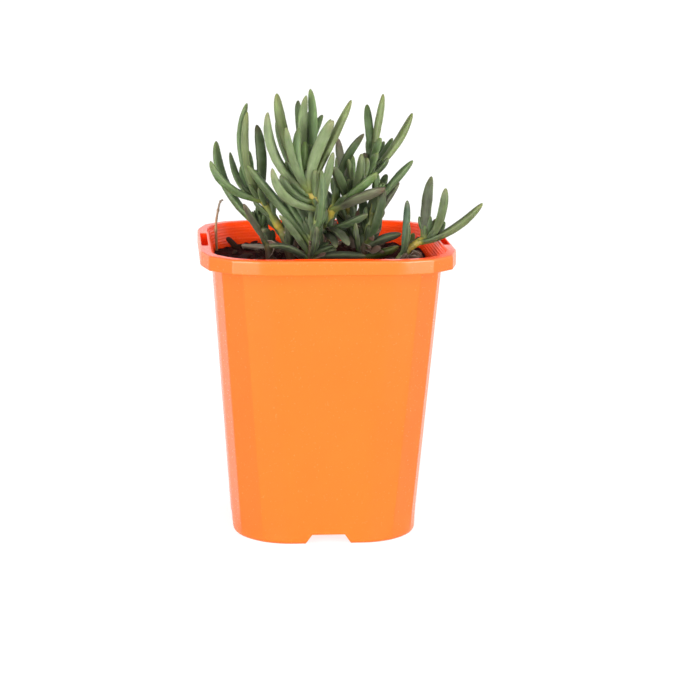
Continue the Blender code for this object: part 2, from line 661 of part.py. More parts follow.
def build_soil(collection, cutters):
    """Potting mix with an uneven top, bark chips in it, and a plain hole for each stem."""
    work = bmesh.new()
    bmesh.ops.create_grid(work, x_segments=SOIL_CELLS, y_segments=SOIL_CELLS, size=RIM_HALF)
    for vert in work.verts:
        vert.co.z = soil_height(vert.co.x, vert.co.y)
    raised = bmesh.ops.extrude_face_region(work, geom=list(work.faces))
    for vert in (item for item in raised["geom"] if isinstance(item, bmesh.types.BMVert)):
        vert.co.z = -POT_HEIGHT
    bmesh.ops.recalc_face_normals(work, faces=work.faces)
    bmesh.ops.scale(work, verts=work.verts, vec=Vector((MM, MM, MM)))
    mesh = bpy.data.meshes.new("ground")
    work.to_mesh(mesh)
    work.free()
    ground = hide_cutter(add_object("ground", mesh, cutters))

    soil = add_object("potting_mix", loft("potting_mix", soil_rings()), collection)
    boolean(soil, "INTERSECT", cutter=ground)

    holes = []
    openings = make_collection("soil_openings")
    channel_bars(WALL + GAP, openings)
    stems = [(stem_points(shoot.stem)[:4], STEM_RADIUS) for shoot in SHOOTS] + [(TWIG_PATH[:3], TWIG_RADIUS)]
    for number, (points, radius) in enumerate(stems):
        path = smooth_path(points, STEM_STEPS)
        path = path[path[:, 2] < SOIL_TOP + HOLE_OVER_SOIL]
        path = np.vstack([path[0] + (path[0] - path[1]) * 0.3, path])
        tube(f"hole_{number}", path, [radius + 1.5 * GAP] * len(path), openings)
        near = path[np.argmin(abs(path[:, 2] - SOIL_Z))]
        holes.append((near[0], near[1]))
    boolean(soil, "DIFFERENCE", collection=openings)
    drop_collection(openings)

    chips = make_collection("chips")
    rng = random.Random(CHIP_SEED + 1)
    lying = FALLEN_LEAF_LENGTH / 4 * Vector((math.cos(FALLEN_TURN), math.sin(FALLEN_TURN)))
    under_leaf = [tuple(Vector(FALLEN_LEAF_FOOT) + k * lying) for k in range(5)]
    for number, (x, y) in enumerate(chip_places(holes + under_leaf + [STANDING_CHIP])):
        add_object(f"chip_{number}", chip_mesh(f"chip_{number}", x, y, rng), chips)
    add_object("standing_chip", chip_mesh("standing_chip", *STANDING_CHIP, rng, standing=True), chips)
    boolean(soil, "UNION", collection=chips, solver="MANIFOLD")
    drop_collection(chips)
    keep_largest_body(soil)
    soil.data.materials.clear()
    soil.data.materials.append(make_material("potting_mix", (0.035, 0.022, 0.016), 0.95))
    return soil


def build_twig(collection):
    path = smooth_path(TWIG_PATH, STEM_STEPS)
    twig = tube("dry_twig", path, [TWIG_RADIUS] * len(path), collection)
    twig.data.materials.append(make_material("dry_twig", (0.36, 0.27, 0.2), 0.85))
    return twig


def build_fallen_leaf(collection):
    """A dry leaf that lies on the mix."""
    x, y = FALLEN_LEAF_FOOT
    leaf = Leaf(0, FALLEN_LEAF_HEADING, 3, -6, FALLEN_LEAF_LENGTH, FALLEN_LEAF_WIDTH)
    under = [soil_height(x + s * math.cos(FALLEN_TURN), y + s * math.sin(FALLEN_TURN))
             for s in range(FALLEN_LEAF_LENGTH + 1)]
    height = max(under) + FALLEN_LEAF_WIDTH * LEAF_THICKNESS / 2 + GAP - FALLEN_LEAF_SETTLED
    root = np.array([x, y, height])
    mesh = leaf_mesh("fallen_leaf", root, leaf)
    return add_object("fallen_leaf", mesh, collection, make_material("dead_leaf", (0.3, 0.27, 0.22), 0.8))


def main():
    clear_scene()
    plant = make_collection("potted_ice_plant")
    cutters = make_collection("cutters")
    build_pot(plant, cutters)
    build_soil(plant, cutters)
    for shoot in SHOOTS:
        build_shoot(shoot, plant)
    build_twig(plant)
    build_fallen_leaf(plant)


main()
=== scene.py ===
"""The looks of an ice plant in a square orange plastic pot.

Lengths are in millimetres until a mesh is made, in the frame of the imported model: +X to the right,
+Y to the back, +Z up, and the origin in the middle of the pot's base. Each new piece is a surface
over two parameters, worked out as whole arrays, with its place in its mesh.
"""
import json
import math
import random
from collections import namedtuple

import bmesh
import bpy
import numpy as np
from mathutils import Euler, Matrix, Vector

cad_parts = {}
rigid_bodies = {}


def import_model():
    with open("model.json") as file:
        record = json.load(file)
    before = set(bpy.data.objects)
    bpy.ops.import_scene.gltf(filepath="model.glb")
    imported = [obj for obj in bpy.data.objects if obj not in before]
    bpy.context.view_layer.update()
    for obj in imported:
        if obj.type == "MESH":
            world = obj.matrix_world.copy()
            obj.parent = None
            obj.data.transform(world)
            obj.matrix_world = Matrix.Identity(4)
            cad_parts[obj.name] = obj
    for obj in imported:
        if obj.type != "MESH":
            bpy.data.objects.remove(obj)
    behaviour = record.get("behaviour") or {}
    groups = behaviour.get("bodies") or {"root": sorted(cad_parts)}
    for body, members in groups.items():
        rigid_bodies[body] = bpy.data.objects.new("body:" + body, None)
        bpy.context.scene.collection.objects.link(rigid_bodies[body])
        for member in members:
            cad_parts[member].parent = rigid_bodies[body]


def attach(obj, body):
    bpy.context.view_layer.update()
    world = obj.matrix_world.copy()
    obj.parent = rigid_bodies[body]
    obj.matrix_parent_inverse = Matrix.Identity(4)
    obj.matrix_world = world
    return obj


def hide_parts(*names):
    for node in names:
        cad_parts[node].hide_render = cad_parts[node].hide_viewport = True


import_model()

MM = 0.001
TURN = 2 * math.pi
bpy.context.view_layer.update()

# Camera, which stands where the photograph was taken from
CAMERA_PLACE = (-66.45, -797.24, 250.99)
CAMERA_AZIMUTH = -5.563
CAMERA_DOWN = 12.70
CAMERA_ROLL = 0.716
SENSOR_WIDTH = 36.0
IMAGE_WIDTH = 700
FOCAL_PIXELS = 2018.4
SEES_TO = 50000.0

# Light. The cove's strength goes from low to top over the height COVE_RISE, where 1 is straight up,
# and is multiplied by a factor that goes from front to back. A lamp stands at each side of the camera.
COVE_LOW = 5.4
COVE_TOP = 0.7
COVE_RISE = 0.8
COVE_FRONT = 1.15
COVE_BACK = 0.3
LAMP_OUT = 850
LAMP_BEFORE = 900
LAMP_UP = 160
LAMP_WIDTH = 900
LAMP_HEIGHT = 260
LAMP_AIM = (0, 0, 90)
LEFT_LAMP_WATTS = 27.0
RIGHT_LAMP_WATTS = 25.5
PAPER_REACH = 9000.0

# Pot
POT_HEIGHT = 116.3
BASE_HALF = 36.8
BASE_CORNER = 22.6
NECK_HALF = 44.8
NECK_CORNER = 21.0
NECK_Z = 110.2
WALL = 1.1
RIM_HALF = 50.0
RIM_CORNER = 23.3
RIM_DEPTH = 5.7
RIM_SKIN = 0.8
RIM_TOP_SKIN = 1.1
RIM_CHAMFER = 0.4
MOUTH_HALF = 46.0
MOUTH_CORNER = 21.2
MOUTH_SHELF = 1.0
LIP_DEPTH = 1.2
LIP_DRAW = 0.2
CORNER_FACETS = 3
FOOT_BLEND = 9.0
CENTRE_HALF = 0.5
SHARP_ANGLE = math.radians(34)
RIB_COUNT = 8
RIB_LEVELS = 8
RIB_PITCH = 1.15
RIB_RELIEF = 0.13
SLOT_LENGTH = 30.0
SLOT_NEAR = 46.5
SLOT_FAR = 49.2
POCKET_NEAR = 44.65
POCKET_LEAN = 1.65
SLOT_PAST = 1.0
CHANNEL_LOW = 18.4
CHANNEL_TOP = 13.0
CHANNEL_DEPTH = 4.0
CHANNEL_INNER_END = 17.0
CHANNEL_PAST = 2.0
ROOF_FROM = 0.3
ROOF_INSIDE = 0.6
DRAIN_RADIUS = 4.0
DRAIN_OUT = 25.0
DRAIN_DEPTH = 8.0
DRAIN_MIDDLE = 5.0

# Potting mix
GAP = 0.3
SOIL_Z = 104.0
SOIL_RISE = 3.0
SOIL_RISE_FROM = -14.0
SOIL_RISE_TO = 16.0
MOUND_HEIGHT = 3.2
MOUND_PLACE = (2.0, 21.0)
MOUND_REACH = 13.0
SOIL_ROUGHNESS = 0.9
CHIP_COUNT = 34
CHIP_SEED = 11
CHIP_LENGTH = (4.5, 8.5)
CHIP_WIDTH = (2.6, 4.6)
CHIP_THICKNESS = (1.4, 2.2)
CHIP_TILT = 0.25
CHIP_FROM_WALL = 6.0
CHIP_CLEAR_OF_STEM = 8.0
CHIP_SPACING = 6.5
CHIP_SINK = 0.1
STANDING_CHIP = (-35.2, 31.5)
STANDING_TILT = 0.9
STANDING_RISE = 0.3
SOIL_AROUND = 420
SOIL_RINGS = 96
# Each size of crumb on the mix: its height, its width, its seed and its octaves
LUMPS = (0.45, 5.0, 5, 3)
CRUMBS = (0.3, 2.0, 6, 3)
GRAINS = (0.22, 1.1, 7, 2)
# Small chips lie between the model's own until there are this many in all
ALL_CHIPS = 260
SMALL_CHIP_LENGTH = (1.6, 4.6)
SMALL_CHIP_WIDE = (0.4, 0.8)
SMALL_CHIP_THICK = (0.18, 0.4)
SMALL_CHIP_FROM_WALL = 1.5
FIBRE_COUNT = 70
FIBRE_LENGTH = (5, 14)
FIBRE_BEND = 1.4
FIBRE_RADIUS = (0.1, 0.22)
FIBRE_HUMP = (0.2, 1.3)
FIBRE_POINTS = 14
FIBRE_SIDES = 6
FIBRE_FROM_WALL = 3

# Shoots. Places along a stem are counted in its points.
STEM_RADIUS = 1.9
STEM_TIP_RADIUS = 1.3
STEM_SIDES = 20
FOOT_Z = 92.0
CORK_BLEND = 7.0
NODE_REACH = 0.2
NODE_SWELL = 0.1
RIPE_REACH = 0.4
BARE_REACH = 0.6
LEAF_BACK = 0.8
LEAF_THICKNESS = 1.0
LEAF_ROOT_WIDTH = 0.6
LEAF_REACH = 0.996
SHOULDER = 0.6
BLUNTNESS = (1.7, 2.8)
LAST_STATION = 0.9985
RIDGE_WIDTH = 0.2
RIDGE_RELIEF = 0.045
ROOT_SWELL = 0.22
ROOT_REACH = 0.05
DENT_DEPTH = 0.04
DENT_SIZE = 3.2
PIT_DEPTH = 0.015
PIT_SIZE = 0.9
SHRINK_DEPTH = 0.3
SHRINK_SIZE = 1.8
SHRINK_TWIST = 1.5
AXIS_STEPS = 60
STEM_STEPS = 10
HOLE_STEPS = 2

# Small leaves: pairs at a stem's tip, as length and turn, pairs beside its leaves, and pairs that clasp it
YOUNG_SEED = 5
TIP_PAIRS = ((9.5, 0), (6.0, 90))
TIP_LIFT = (64, 78)
TIP_CURL = 8
BESIDE_LENGTH = (6, 11)
BESIDE_TURNS = (-24, 28)
BESIDE_RISE = (8, 22)
BESIDE_STEEPEST = 84
CLASP_SPACING = 5.0
CLASP_ANGLE = math.radians(22)
CLASP_FROM = 110.0
CLASP_SHORT_OF_TIP = 4
CLASP_CURL = 14
CLASP_LENGTH = (7, 12)
CLASP_WIDTH = (2.3, 3.3)
REMAINS_SEED = 8
REMAINS_EACH = 9
REMAINS_FROM = 2
REMAINS_ROOTS = 18

# A leaf leaves its stem at point number `at` of the stem. It points to `heading` degrees seen from above,
# rises at `lift` degrees and has risen by `curl` degrees more at its tip, and turns sideways by `swing`.
# `late` over 1 keeps the bend for the tip, under 1 has it near the root. `tone` names its colours.
#
# Most rows of the six front shoots, and their stems' points, aren't values that were chosen by hand. A
# separate script fitted them to places read off the photograph, and they were rounded. The rest was set one
# by one: some of these rows, many widths, each leaf's choice of tone, and the back shoots.
Leaf = namedtuple("Leaf", "at heading lift curl length width swing late tone", defaults=(0, 1.0, "grey"))

LEFT_STEM = ((-12, 4, 104), (-15, 3, 115), (-18, 2, 121), (-21, 1, 126), (-24, 0, 131), (-27, 0, 134))
LEFT_LEAVES = (
    Leaf(4.3, -162, 15, 57, 28.5, 4.0, 0, 1.5, "green"),
    Leaf(4.8, 130, -17, 88, 27.5, 2.9, -15, 0.6, "dark"),
    Leaf(4.9, 129, 45, 71, 39.5, 4.1, 6, tone="green"),
    Leaf(4.3, -151, 43, 58, 37.5, 3.4, 0, 0.6, "olive"),
    Leaf(5.0, 114, -3, 91, 20.5, 2.7, -9, 1.4, "green"),
    Leaf(4.8, -19, 65, 37, 29, 4.8, -5, 0.4, "deep"),
    Leaf(5.0, 106, 30, 47, 21, 3.2, -10, tone="green"),
    Leaf(2.1, 135, 54, 4, 20.5, 3.8, 0, 1.9, "dark"),
    Leaf(0.6, -85, 61, -35, 16, 3.6, -28, 1.5, "dull"),
    Leaf(1.2, 70, 48, 15, 16, 4.2, tone="dark"),
    Leaf(1.4, 15, 48, 0, 14, 4.2, tone="deep"),
)

LEFT_LOW_STEM = ((-21, 6, 104), (-22, 6, 114), (-23, 6, 116), (-25, 5, 120))
LEFT_LOW_LEAVES = (
    Leaf(3.0, 160, 41, 49, 41, 4.4, -40, 1.7, "green"),
    Leaf(0.9, -142, 51, 8, 22, 3.4, 0, 2.2, "plum"),
    Leaf(1.6, 119, 71, -19, 14, 3.6, tone="dark"),
    Leaf(0.8, -97, 67, -67, 13, 3.4, -22, 1.5, "dull"),
)

MIDDLE_STEM = (
    (-6, -8, 105), (-6, -9, 111), (-5, -11, 118), (-4, -13, 125), (-3, -15, 130),
    (-5, -16, 134), (-8, -16, 139), (-9, -14, 143), (-9, -13, 147),
)
MIDDLE_LEAVES = (
    Leaf(1.6, 175, 53, -3, 41, 4.2, tone="green"),
    Leaf(1.0, -145, 53, -14, 24, 3.1, 0, 2.0),
    Leaf(1.9, 157, 56, -4, 21, 4.7, tone="green"),
    Leaf(1.9, 140, 64, -6, 22, 4.7, tone="dark"),
    Leaf(2.2, 108, 23, 63, 17, 4.3, -6, tone="dark"),
    Leaf(2.5, -81, 20, 98, 31, 2.8, 4, tone="green"),
    Leaf(4.2, -153, 11, 69, 31.5, 3.9, 26, 1.6, "pale"),
    Leaf(5.1, -161, -22, 88, 18.5, 3.8, -6, 0.5, "dark"),
    Leaf(5.8, 172, 20, 72, 36.5, 4.7, 0, 0.7, "pale"),
    Leaf(7.0, 150, 30, 52, 35.5, 4.7, -15, 0.4, "olive"),
    Leaf(6.7, 124, 15, 53, 30, 3.8, -4, 0.6, "dark"),
    Leaf(5.8, -148, 31, 47, 29, 3.4, 12, 0.4),
    Leaf(7.2, 106, 77, -45, 33, 3.0, -22, 1.6, "dark"),
    Leaf(7.2, 113, 81, 36, 32, 3.8, 4, 2.2),
    Leaf(7.4, 78, 59, -25, 29.5, 3.6, 0, 2.2, "green"),
    Leaf(7.3, 44, 32, 87, 36, 3.4, 27, 0.6, "green"),
    Leaf(7.3, 62, 64, -35, 28.5, 3.2, 0, 1.6, "green"),
    Leaf(5.8, -27, 94, -45, 32, 5.0, -28, 0.6, "pale"),
    Leaf(5.8, 20, 63, -1, 39.5, 3.8, tone="olive"),
    Leaf(6.7, -25, 76, -19, 27, 3.6),
    Leaf(6.0, -144, 52, 56, 25.5, 3.8, tone="green"),
    Leaf(7.5, -85, 67, 29, 12.5, 3.4, tone="bright"),
    Leaf(7.5, 107, 62, 12, 9.5, 3.2, tone="bright"),
    Leaf(5.1, -85, 80, -16, 13, 2.8),
    Leaf(3.8, -25, 79, -6, 25, 3.8, 0, 2.2),
    Leaf(0.8, -78, 35, 35, 19, 2.4, -7, tone="dull"),
    Leaf(0.7, -151, 35, -42, 21, 3.4, 0, 1.9, "dull"),
    Leaf(0.7, -14, 31, -38, 23, 3.8, 0, 0.5, "dull"),
    Leaf(1.1, 14, 15, -16, 11, 4.8, tone="dull"),
    Leaf(1.4, 68, 30, 20, 15, 4.4, tone="dark"),
)

RIGHT_STEM = (
    (0, 6, 104), (1, 5, 115), (2, 2, 123), (4, 0, 129),
    (10, 4, 133), (15, 9, 137), (19, 12, 141), (20, 14, 145),
)
RIGHT_LEAVES = (
    Leaf(2.9, -33, 26, -9, 26, 5.0, -9, 2.2, "plum"),
    Leaf(3.0, -31, 36, 5, 24.5, 4.3, 0, 0.6, "fresh"),
    Leaf(3.9, -117, 48, -9, 20.5, 4.3, tone="dark"),
    Leaf(3.0, -11, 91, -48, 34, 4.0, -28, tone="deep"),
    Leaf(4.2, 122, 53, 30, 23.5, 3.6, tone="plum"),
    Leaf(4.3, -99, 54, -12, 20.5, 2.5, -5),
    Leaf(4.3, -77, 15, 73, 24, 3.6, -9),
    Leaf(5.2, 62, 49, 53, 12.5, 3.8, tone="plum"),
    Leaf(6.9, 2, 81, -1, 29, 3.7, tone="olive"),
    Leaf(6.7, 114, 93, -50, 26.5, 3.4, -28, 1.3, "green"),
    Leaf(6.3, 11, 15, 50, 30, 4.0, 10, 0.4, "olive"),
    Leaf(6.5, 47, 19, 35, 19, 3.2, tone="green"),
    Leaf(6.7, -67, 56, 1, 15, 3.2, tone="green"),
    Leaf(6.5, 64, 17, 25, 19, 2.7, tone="green"),
    Leaf(5.6, -68, 52, -6, 15, 3.4, tone="green"),
    Leaf(5.1, -80, 32, 28, 16.5, 3.1, -6),
    Leaf(5.5, -4, 26, 33, 13, 3.0, tone="dark"),
    Leaf(1.6, -68, 9, -38, 21.5, 3.5, -4, tone="dull"),
    Leaf(1.2, -79, 18, -46, 19.5, 3.4, -6, tone="dull"),
    Leaf(1.5, -40, 13, 16, 21, 3.8, 5, 0.5, "dark"),
    Leaf(1.3, 150, 42, 20, 15, 4.4, tone="dark"),
    Leaf(1.7, 62, 45, 15, 17, 4.2, tone="deep"),
    Leaf(1.0, 105, 30, 20, 14, 4.4, tone="dark"),
)

SIDE_STEM = ((14, 2, 104), (16, 1, 111), (18, 1, 118), (19, 1, 124), (21, 1, 131), (21, 1, 133))
SIDE_LEAVES = (
    Leaf(1.4, -45, 34, 47, 26, 3.9, -5, 0.4, "deep"),
    Leaf(1.2, 53, 48, 41, 21, 4.5, 9, 0.7, "dark"),
    Leaf(3.9, 11, 50, -7, 23, 3.8, 0, 1.9, "green"),
    Leaf(2.5, 30, 53, -12, 22.5, 3.8, 0, 2.2, "plum"),
    Leaf(4.4, 56, 47, 0, 12.5, 3.2, tone="dark"),
    Leaf(1.1, -8, 54, -45, 17, 4.3, 0, 0.5, "dull"),
    Leaf(0.6, -16, 13, 11, 16.5, 4.1, tone="yellow"),
    Leaf(0.7, -111, 29, 38, 21.5, 2.3, 13, tone="dull"),
    Leaf(1.1, 74, 58, -7, 20, 3.8, 19, tone="dark"),
    Leaf(1.4, 52, 7, 93, 18, 3.4, 4, 1.3, "dark"),
    Leaf(1.2, 128, 40, 20, 16, 4.2, tone="dark"),
    Leaf(2.0, 100, 50, 10, 17, 4.0, tone="deep"),
)

FAR_RIGHT_STEM = ((28, -12, 107), (31, -12, 112), (34, -12, 115), (37, -12, 117), (40, -11, 118))
FAR_RIGHT_LEAVES = (
    Leaf(0.9, 49, 78, 15, 22, 3.0, 0, 1.6, "teal"),
    Leaf(0.9, -80, 38, 47, 17, 2.2, -5, tone="dark"),
    Leaf(1.3, 61, 18, 34, 11, 2.7, 7, tone="yellow"),
    Leaf(3.7, 55, 84, -14, 25.5, 4.4, -15, 2.2, "dull"),
    Leaf(4.0, -42, 7, 78, 25.5, 3.7, -25, 0.4),
    Leaf(4.0, 35, 2, 67, 12.5, 2.9, 4, 1.3, "green"),
    Leaf(3.2, -10, -6, 54, 29.5, 4.1, 7, 0.4, "olive"),
    Leaf(4.0, 59, 17, 30, 12.5, 2.7, 6, tone="brown"),
)

BACK_LEFT_STEM = ((-9, 24, 104), (-10, 26, 112), (-11, 28, 120), (-12, 30, 126))
BACK_LEFT_LEAVES = (
    Leaf(0.8, 60, 40, 30, 20, 3.8, tone="dark"),
    Leaf(0.9, 170, 38, 35, 21, 3.8, tone="green"),
    Leaf(1.7, 105, 35, 40, 24, 4.1),
    Leaf(1.8, -20, 62, 15, 20, 3.6, tone="green"),
    Leaf(2.6, 60, 52, 25, 22, 3.8, tone="green"),
    Leaf(2.7, 150, 48, 30, 14, 3.8),
    Leaf(2.9, 95, 68, 15, 20, 3.4, tone="fresh"),
    Leaf(1.1, 10, 22, 25, 15, 4.2, tone="dark"),
    Leaf(1.2, -175, 26, 20, 17, 4.2, tone="dark"),
    Leaf(1.9, 35, 36, 20, 18, 4.0, tone="deep"),
)

BACK_RIGHT_STEM = ((14, 26, 104), (14, 28, 112), (13, 29, 120), (13, 31, 127))
BACK_RIGHT_LEAVES = (
    Leaf(0.8, 20, 40, 30, 20, 3.8, tone="green"),
    Leaf(0.9, 125, 38, 35, 21, 3.8, tone="dark"),
    Leaf(1.7, 75, 35, 40, 24, 4.1),
    Leaf(1.8, 170, 58, 20, 20, 3.6, tone="green"),
    Leaf(2.6, 20, 52, 25, 22, 3.8, tone="olive"),
    Leaf(2.7, 120, 50, 30, 22, 3.8),
    Leaf(2.9, 70, 68, 15, 20, 3.4, tone="fresh"),
    Leaf(1.1, 165, 22, 25, 14, 4.2, tone="dark"),
    Leaf(1.2, -5, 26, 20, 17, 4.2, tone="deep"),
    Leaf(1.9, 145, 36, 20, 16, 4.0, tone="dark"),
)

# A stem is corky up to the height `cork`. At the places `ripe` it is bare and yellow.
Shoot = namedtuple("Shoot", "name stem leaves cork ripe")
SHOOTS = (
    Shoot("shoot_left", LEFT_STEM, LEFT_LEAVES, 121, (2.1, 4.2)),
    Shoot("shoot_left_low", LEFT_LOW_STEM, LEFT_LOW_LEAVES, 117, (1.6,)),
    Shoot("shoot_middle", MIDDLE_STEM, MIDDLE_LEAVES, 124, (4.1, 5.4)),
    Shoot("shoot_right", RIGHT_STEM, RIGHT_LEAVES, 122, (2.7, 3.3)),
    Shoot("shoot_side", SIDE_STEM, SIDE_LEAVES, 120, (3.9,)),
    Shoot("shoot_far_right", FAR_RIGHT_STEM, FAR_RIGHT_LEAVES, 112, (1.9, 2.6, 3.2)),
    Shoot("shoot_back_left", BACK_LEFT_STEM, BACK_LEFT_LEAVES, 120, (2.6,)),
    Shoot("shoot_back_right", BACK_RIGHT_STEM, BACK_RIGHT_LEAVES, 120, (2.6,)),
)

# Painted shade, darker near the soil and lighter high up: heights, and what the colours are multiplied by
PAINTED_SHADE_BY_HEIGHT = ((106, 123, 142), (0.64, 1.0, 1.24))

# The body and tip colour of each kind of leaf. The dark and deep kinds are partly the leaves' own darker
# green and partly painted shade, given to leaves that sit low or inside the plant
TONES = {
    "grey": ("#404A2F", "#505437"),
    "pale": ("#4C563B", "#57573D"),
    "olive": ("#444C2C", "#515430"),
    "green": ("#3B4A2C", "#474F2F"),
    "fresh": ("#3F502C", "#4C552F"),
    "bright": ("#465830", "#505C30"),
    "teal": ("#30422F", "#454838"),
    "dark": ("#333E26", "#40432D"),
    "deep": ("#263219", "#393623"),
    "plum": ("#403F30", "#443A2E"),
    "dull": ("#373B2A", "#464732"),
    "yellow": ("#4F5824", "#544E26"),
    "brown": ("#3D4126", "#4B492C"),
}

# Small leaves that fill the gaps between the larger ones
SMALL_LEAVES = {
    "shoot_middle": (
        Leaf(5.3, 175, 30, 20, 12, 3.6, tone="green"),
        Leaf(6.3, 170, 45, 15, 12, 3.4, tone="dark"),
        Leaf(4.6, 10, 84, 0, 13, 3.2, tone="olive"),
    ),
    "shoot_right": (
        Leaf(2.4, 150, 70, 10, 12, 3.4, tone="dark"),
        Leaf(3.4, 140, 78, 8, 14, 3.0, tone="green"),
    ),
}

# Dry twig and fallen leaf
TWIG_PATH = (
    (-40.8, 24, 94), (-41.7, 24, 103), (-42.3, 24, 112), (-42.4, 24, 119),
    (-41.5, 24, 124.5), (-40.7, 24, 127.6), (-39.5, 24, 128.7),
)
TWIG_RADIUS = 0.55
TWIG_FOOT_SWELL = 1.08
TWIG_TAPER = 0.4
TWIG_KNOTS = (0.42, 0.66, 0.86)
KNOT_REACH = 0.02
KNOT_SWELL = 0.35
FALLEN_LEAF_FOOT = (-30.5, 27.0)
FALLEN_LEAF_HEADING = -33
FALLEN_TURN = math.radians(FALLEN_LEAF_HEADING)
FALLEN_LEAF_LENGTH = 14
FALLEN_LEAF_WIDTH = 3.4
FALLEN_LEAF_LIFT = 3
FALLEN_LEAF_CURL = -6
FALLEN_LEAF_SETTLED = 0.4


def linear(code):
    """An sRGB hex value as linear red, green, blue and alpha."""
    parts = [int(code[k:k + 2], 16) / 255 for k in (1, 3, 5)]
    return (*[part / 12.92 if part <= 0.04045 else ((part + 0.055) / 1.055) ** 2.4 for part in parts], 1.0)


def link(tree, node, sockets):
    """Give each input of a node that is named its value, or the socket that it is linked from."""
    for name, value in sockets.items():
        if isinstance(value, bpy.types.NodeSocket):
            tree.links.new(value, node.inputs[name])
        else:
            node.inputs[name].default_value = value


def add(tree, kind, sockets=None, **settings):
    """Add one node: `settings` are its properties, and `sockets` its inputs."""
    node = tree.nodes.new("ShaderNode" + kind)
    for name, value in settings.items():
        setattr(node, name, value)
    link(tree, node, sockets or {})
    return node


def new_material(name):
    """A new material with its tree and its Principled shader."""
    material = bpy.data.materials.new(name)
    material.use_nodes = True
    return material, material.node_tree, material.node_tree.nodes["Principled BSDF"]


def per(size):
    """The scale at which a texture on metres has features of `size` millimetres."""
    return 1 / (size * MM)


# Materials

def moulded_polypropylene():
    """Polypropylene, injection moulded: an even orange with a satin skin and faint flow marks.

    The thin wall lets a little light through, which warms its shaded side.
    """
    material, tree, shader = new_material("moulded_polypropylene")
    place = add(tree, "TexCoord").outputs["Object"]
    flow = add(tree, "TexNoise", {"Vector": place, "Scale": per(26), "Detail": 2.0})
    grain = add(tree, "TexNoise", {"Vector": place, "Scale": per(0.9), "Detail": 3.0})
    colour = add(tree, "MixRGB", {
        "Fac": flow.outputs["Fac"], "Color1": linear("#FC450D"), "Color2": linear("#FB4910")})
    gloss = add(tree, "MapRange", {"Value": grain.outputs["Fac"], "To Min": 0.22, "To Max": 0.3})
    bump = add(tree, "Bump", {"Height": grain.outputs["Fac"], "Strength": 0.06, "Distance": 0.05 * MM})
    link(tree, shader, {
        "Base Color": colour.outputs["Color"], "Roughness": gloss.outputs["Result"],
        "Normal": bump.outputs["Normal"], "IOR": 1.49, "Specular IOR Level": 0.26, "Subsurface Weight": 0.12,
        "Subsurface Radius": (1.0, 0.2, 0.06), "Subsurface Scale": 2 * MM})
    return material


def succulent_skin():
    """Living leaf skin: fleshy green under a grey wax bloom, which dulls it.

    The attributes give each leaf its own colours with painted shade by height, ridges along its edges and
    keel painted paler as a highlight, a yellow-green root and a tinted tip.
    """
    material, tree, shader = new_material("succulent_leaf_skin")
    place = add(tree, "TexCoord").outputs["Object"]
    skin = add(tree, "Attribute", attribute_name="skin").outputs["Color"]
    tip = add(tree, "Attribute", attribute_name="tip").outputs["Color"]
    along = add(tree, "Attribute", attribute_name="along").outputs["Fac"]
    ridge = add(tree, "Attribute", attribute_name="ridge").outputs["Fac"]
    straight = add(tree, "Attribute", attribute_name="straight").outputs["Vector"]
    stretched = add(tree, "Mapping", {"Vector": straight, "Scale": (1.0, 1.0, 0.16)}).outputs["Vector"]

    mottle = add(tree, "TexNoise", {"Vector": place, "Scale": per(5.0), "Detail": 3.0}).outputs["Fac"]
    streak = add(tree, "TexNoise", {"Vector": stretched, "Scale": per(0.9), "Detail": 2.0}).outputs["Fac"]
    # The cells are about 0.15 mm across: they are drawn at 0.55 mm, the finest that shows
    cells = add(tree, "TexVoronoi", {"Vector": straight, "Scale": per(0.55)}).outputs["Distance"]

    shade = add(tree, "MapRange", {
        "Value": mottle, "From Min": 0.3, "From Max": 0.7, "To Min": 0.74, "To Max": 1.2}).outputs["Result"]
    streaked = add(tree, "MapRange", {
        "Value": streak, "From Min": 0.3, "From Max": 0.7, "To Min": 0.82, "To Max": 1.16}).outputs["Result"]
    both = add(tree, "Math", {0: shade, 1: streaked}, operation="MULTIPLY").outputs["Value"]
    toned = add(tree, "VectorMath", {0: skin, "Scale": both}, operation="SCALE").outputs["Vector"]

    bloom = add(tree, "MapRange", {
        "Value": mottle, "From Min": 0.42, "From Max": 0.68, "To Max": 0.22}).outputs["Result"]
    waxed = add(tree, "MixRGB", {"Fac": bloom, "Color1": toned, "Color2": linear("#4B5445")}).outputs["Color"]
    # Painted highlight: the ridges along the edges and the keel are mixed towards a paler green
    edge = add(tree, "Math", {0: ridge, 1: 0.42}, operation="MULTIPLY").outputs["Value"]
    edge_highlighted = add(tree, "MixRGB", {"Fac": edge, "Color1": waxed, "Color2": linear("#545D3F")}).outputs["Color"]
    root = add(tree, "MapRange", {
        "Value": along, "From Min": 0.02, "From Max": 0.2, "To Min": 0.85, "To Max": 0.0}).outputs["Result"]
    rooted = add(tree, "MixRGB", {"Fac": root, "Color1": edge_highlighted, "Color2": linear("#4F571F")}).outputs["Color"]
    end = add(tree, "MapRange", {"Value": along, "From Min": 0.84, "From Max": 0.99}).outputs["Result"]
    tipped = add(tree, "MixRGB", {"Fac": end, "Color1": rooted, "Color2": tip}).outputs["Color"]

    gloss = add(tree, "MapRange", {"Value": mottle, "To Min": 0.5, "To Max": 0.66}).outputs["Result"]
    fine = add(tree, "Bump", {"Height": cells, "Strength": 0.3, "Distance": 0.08 * MM}).outputs["Normal"]
    bump = add(tree, "Bump", {
        "Height": streak, "Normal": fine, "Strength": 0.35, "Distance": 0.15 * MM}).outputs["Normal"]
    link(tree, shader, {
        "Base Color": tipped, "Roughness": gloss, "Normal": bump, "IOR": 1.42,
        "Subsurface Weight": 0.4, "Subsurface Radius": (0.6, 1.0, 0.3), "Subsurface Scale": 2.0 * MM,
        "Specular IOR Level": 0.2})
    return material


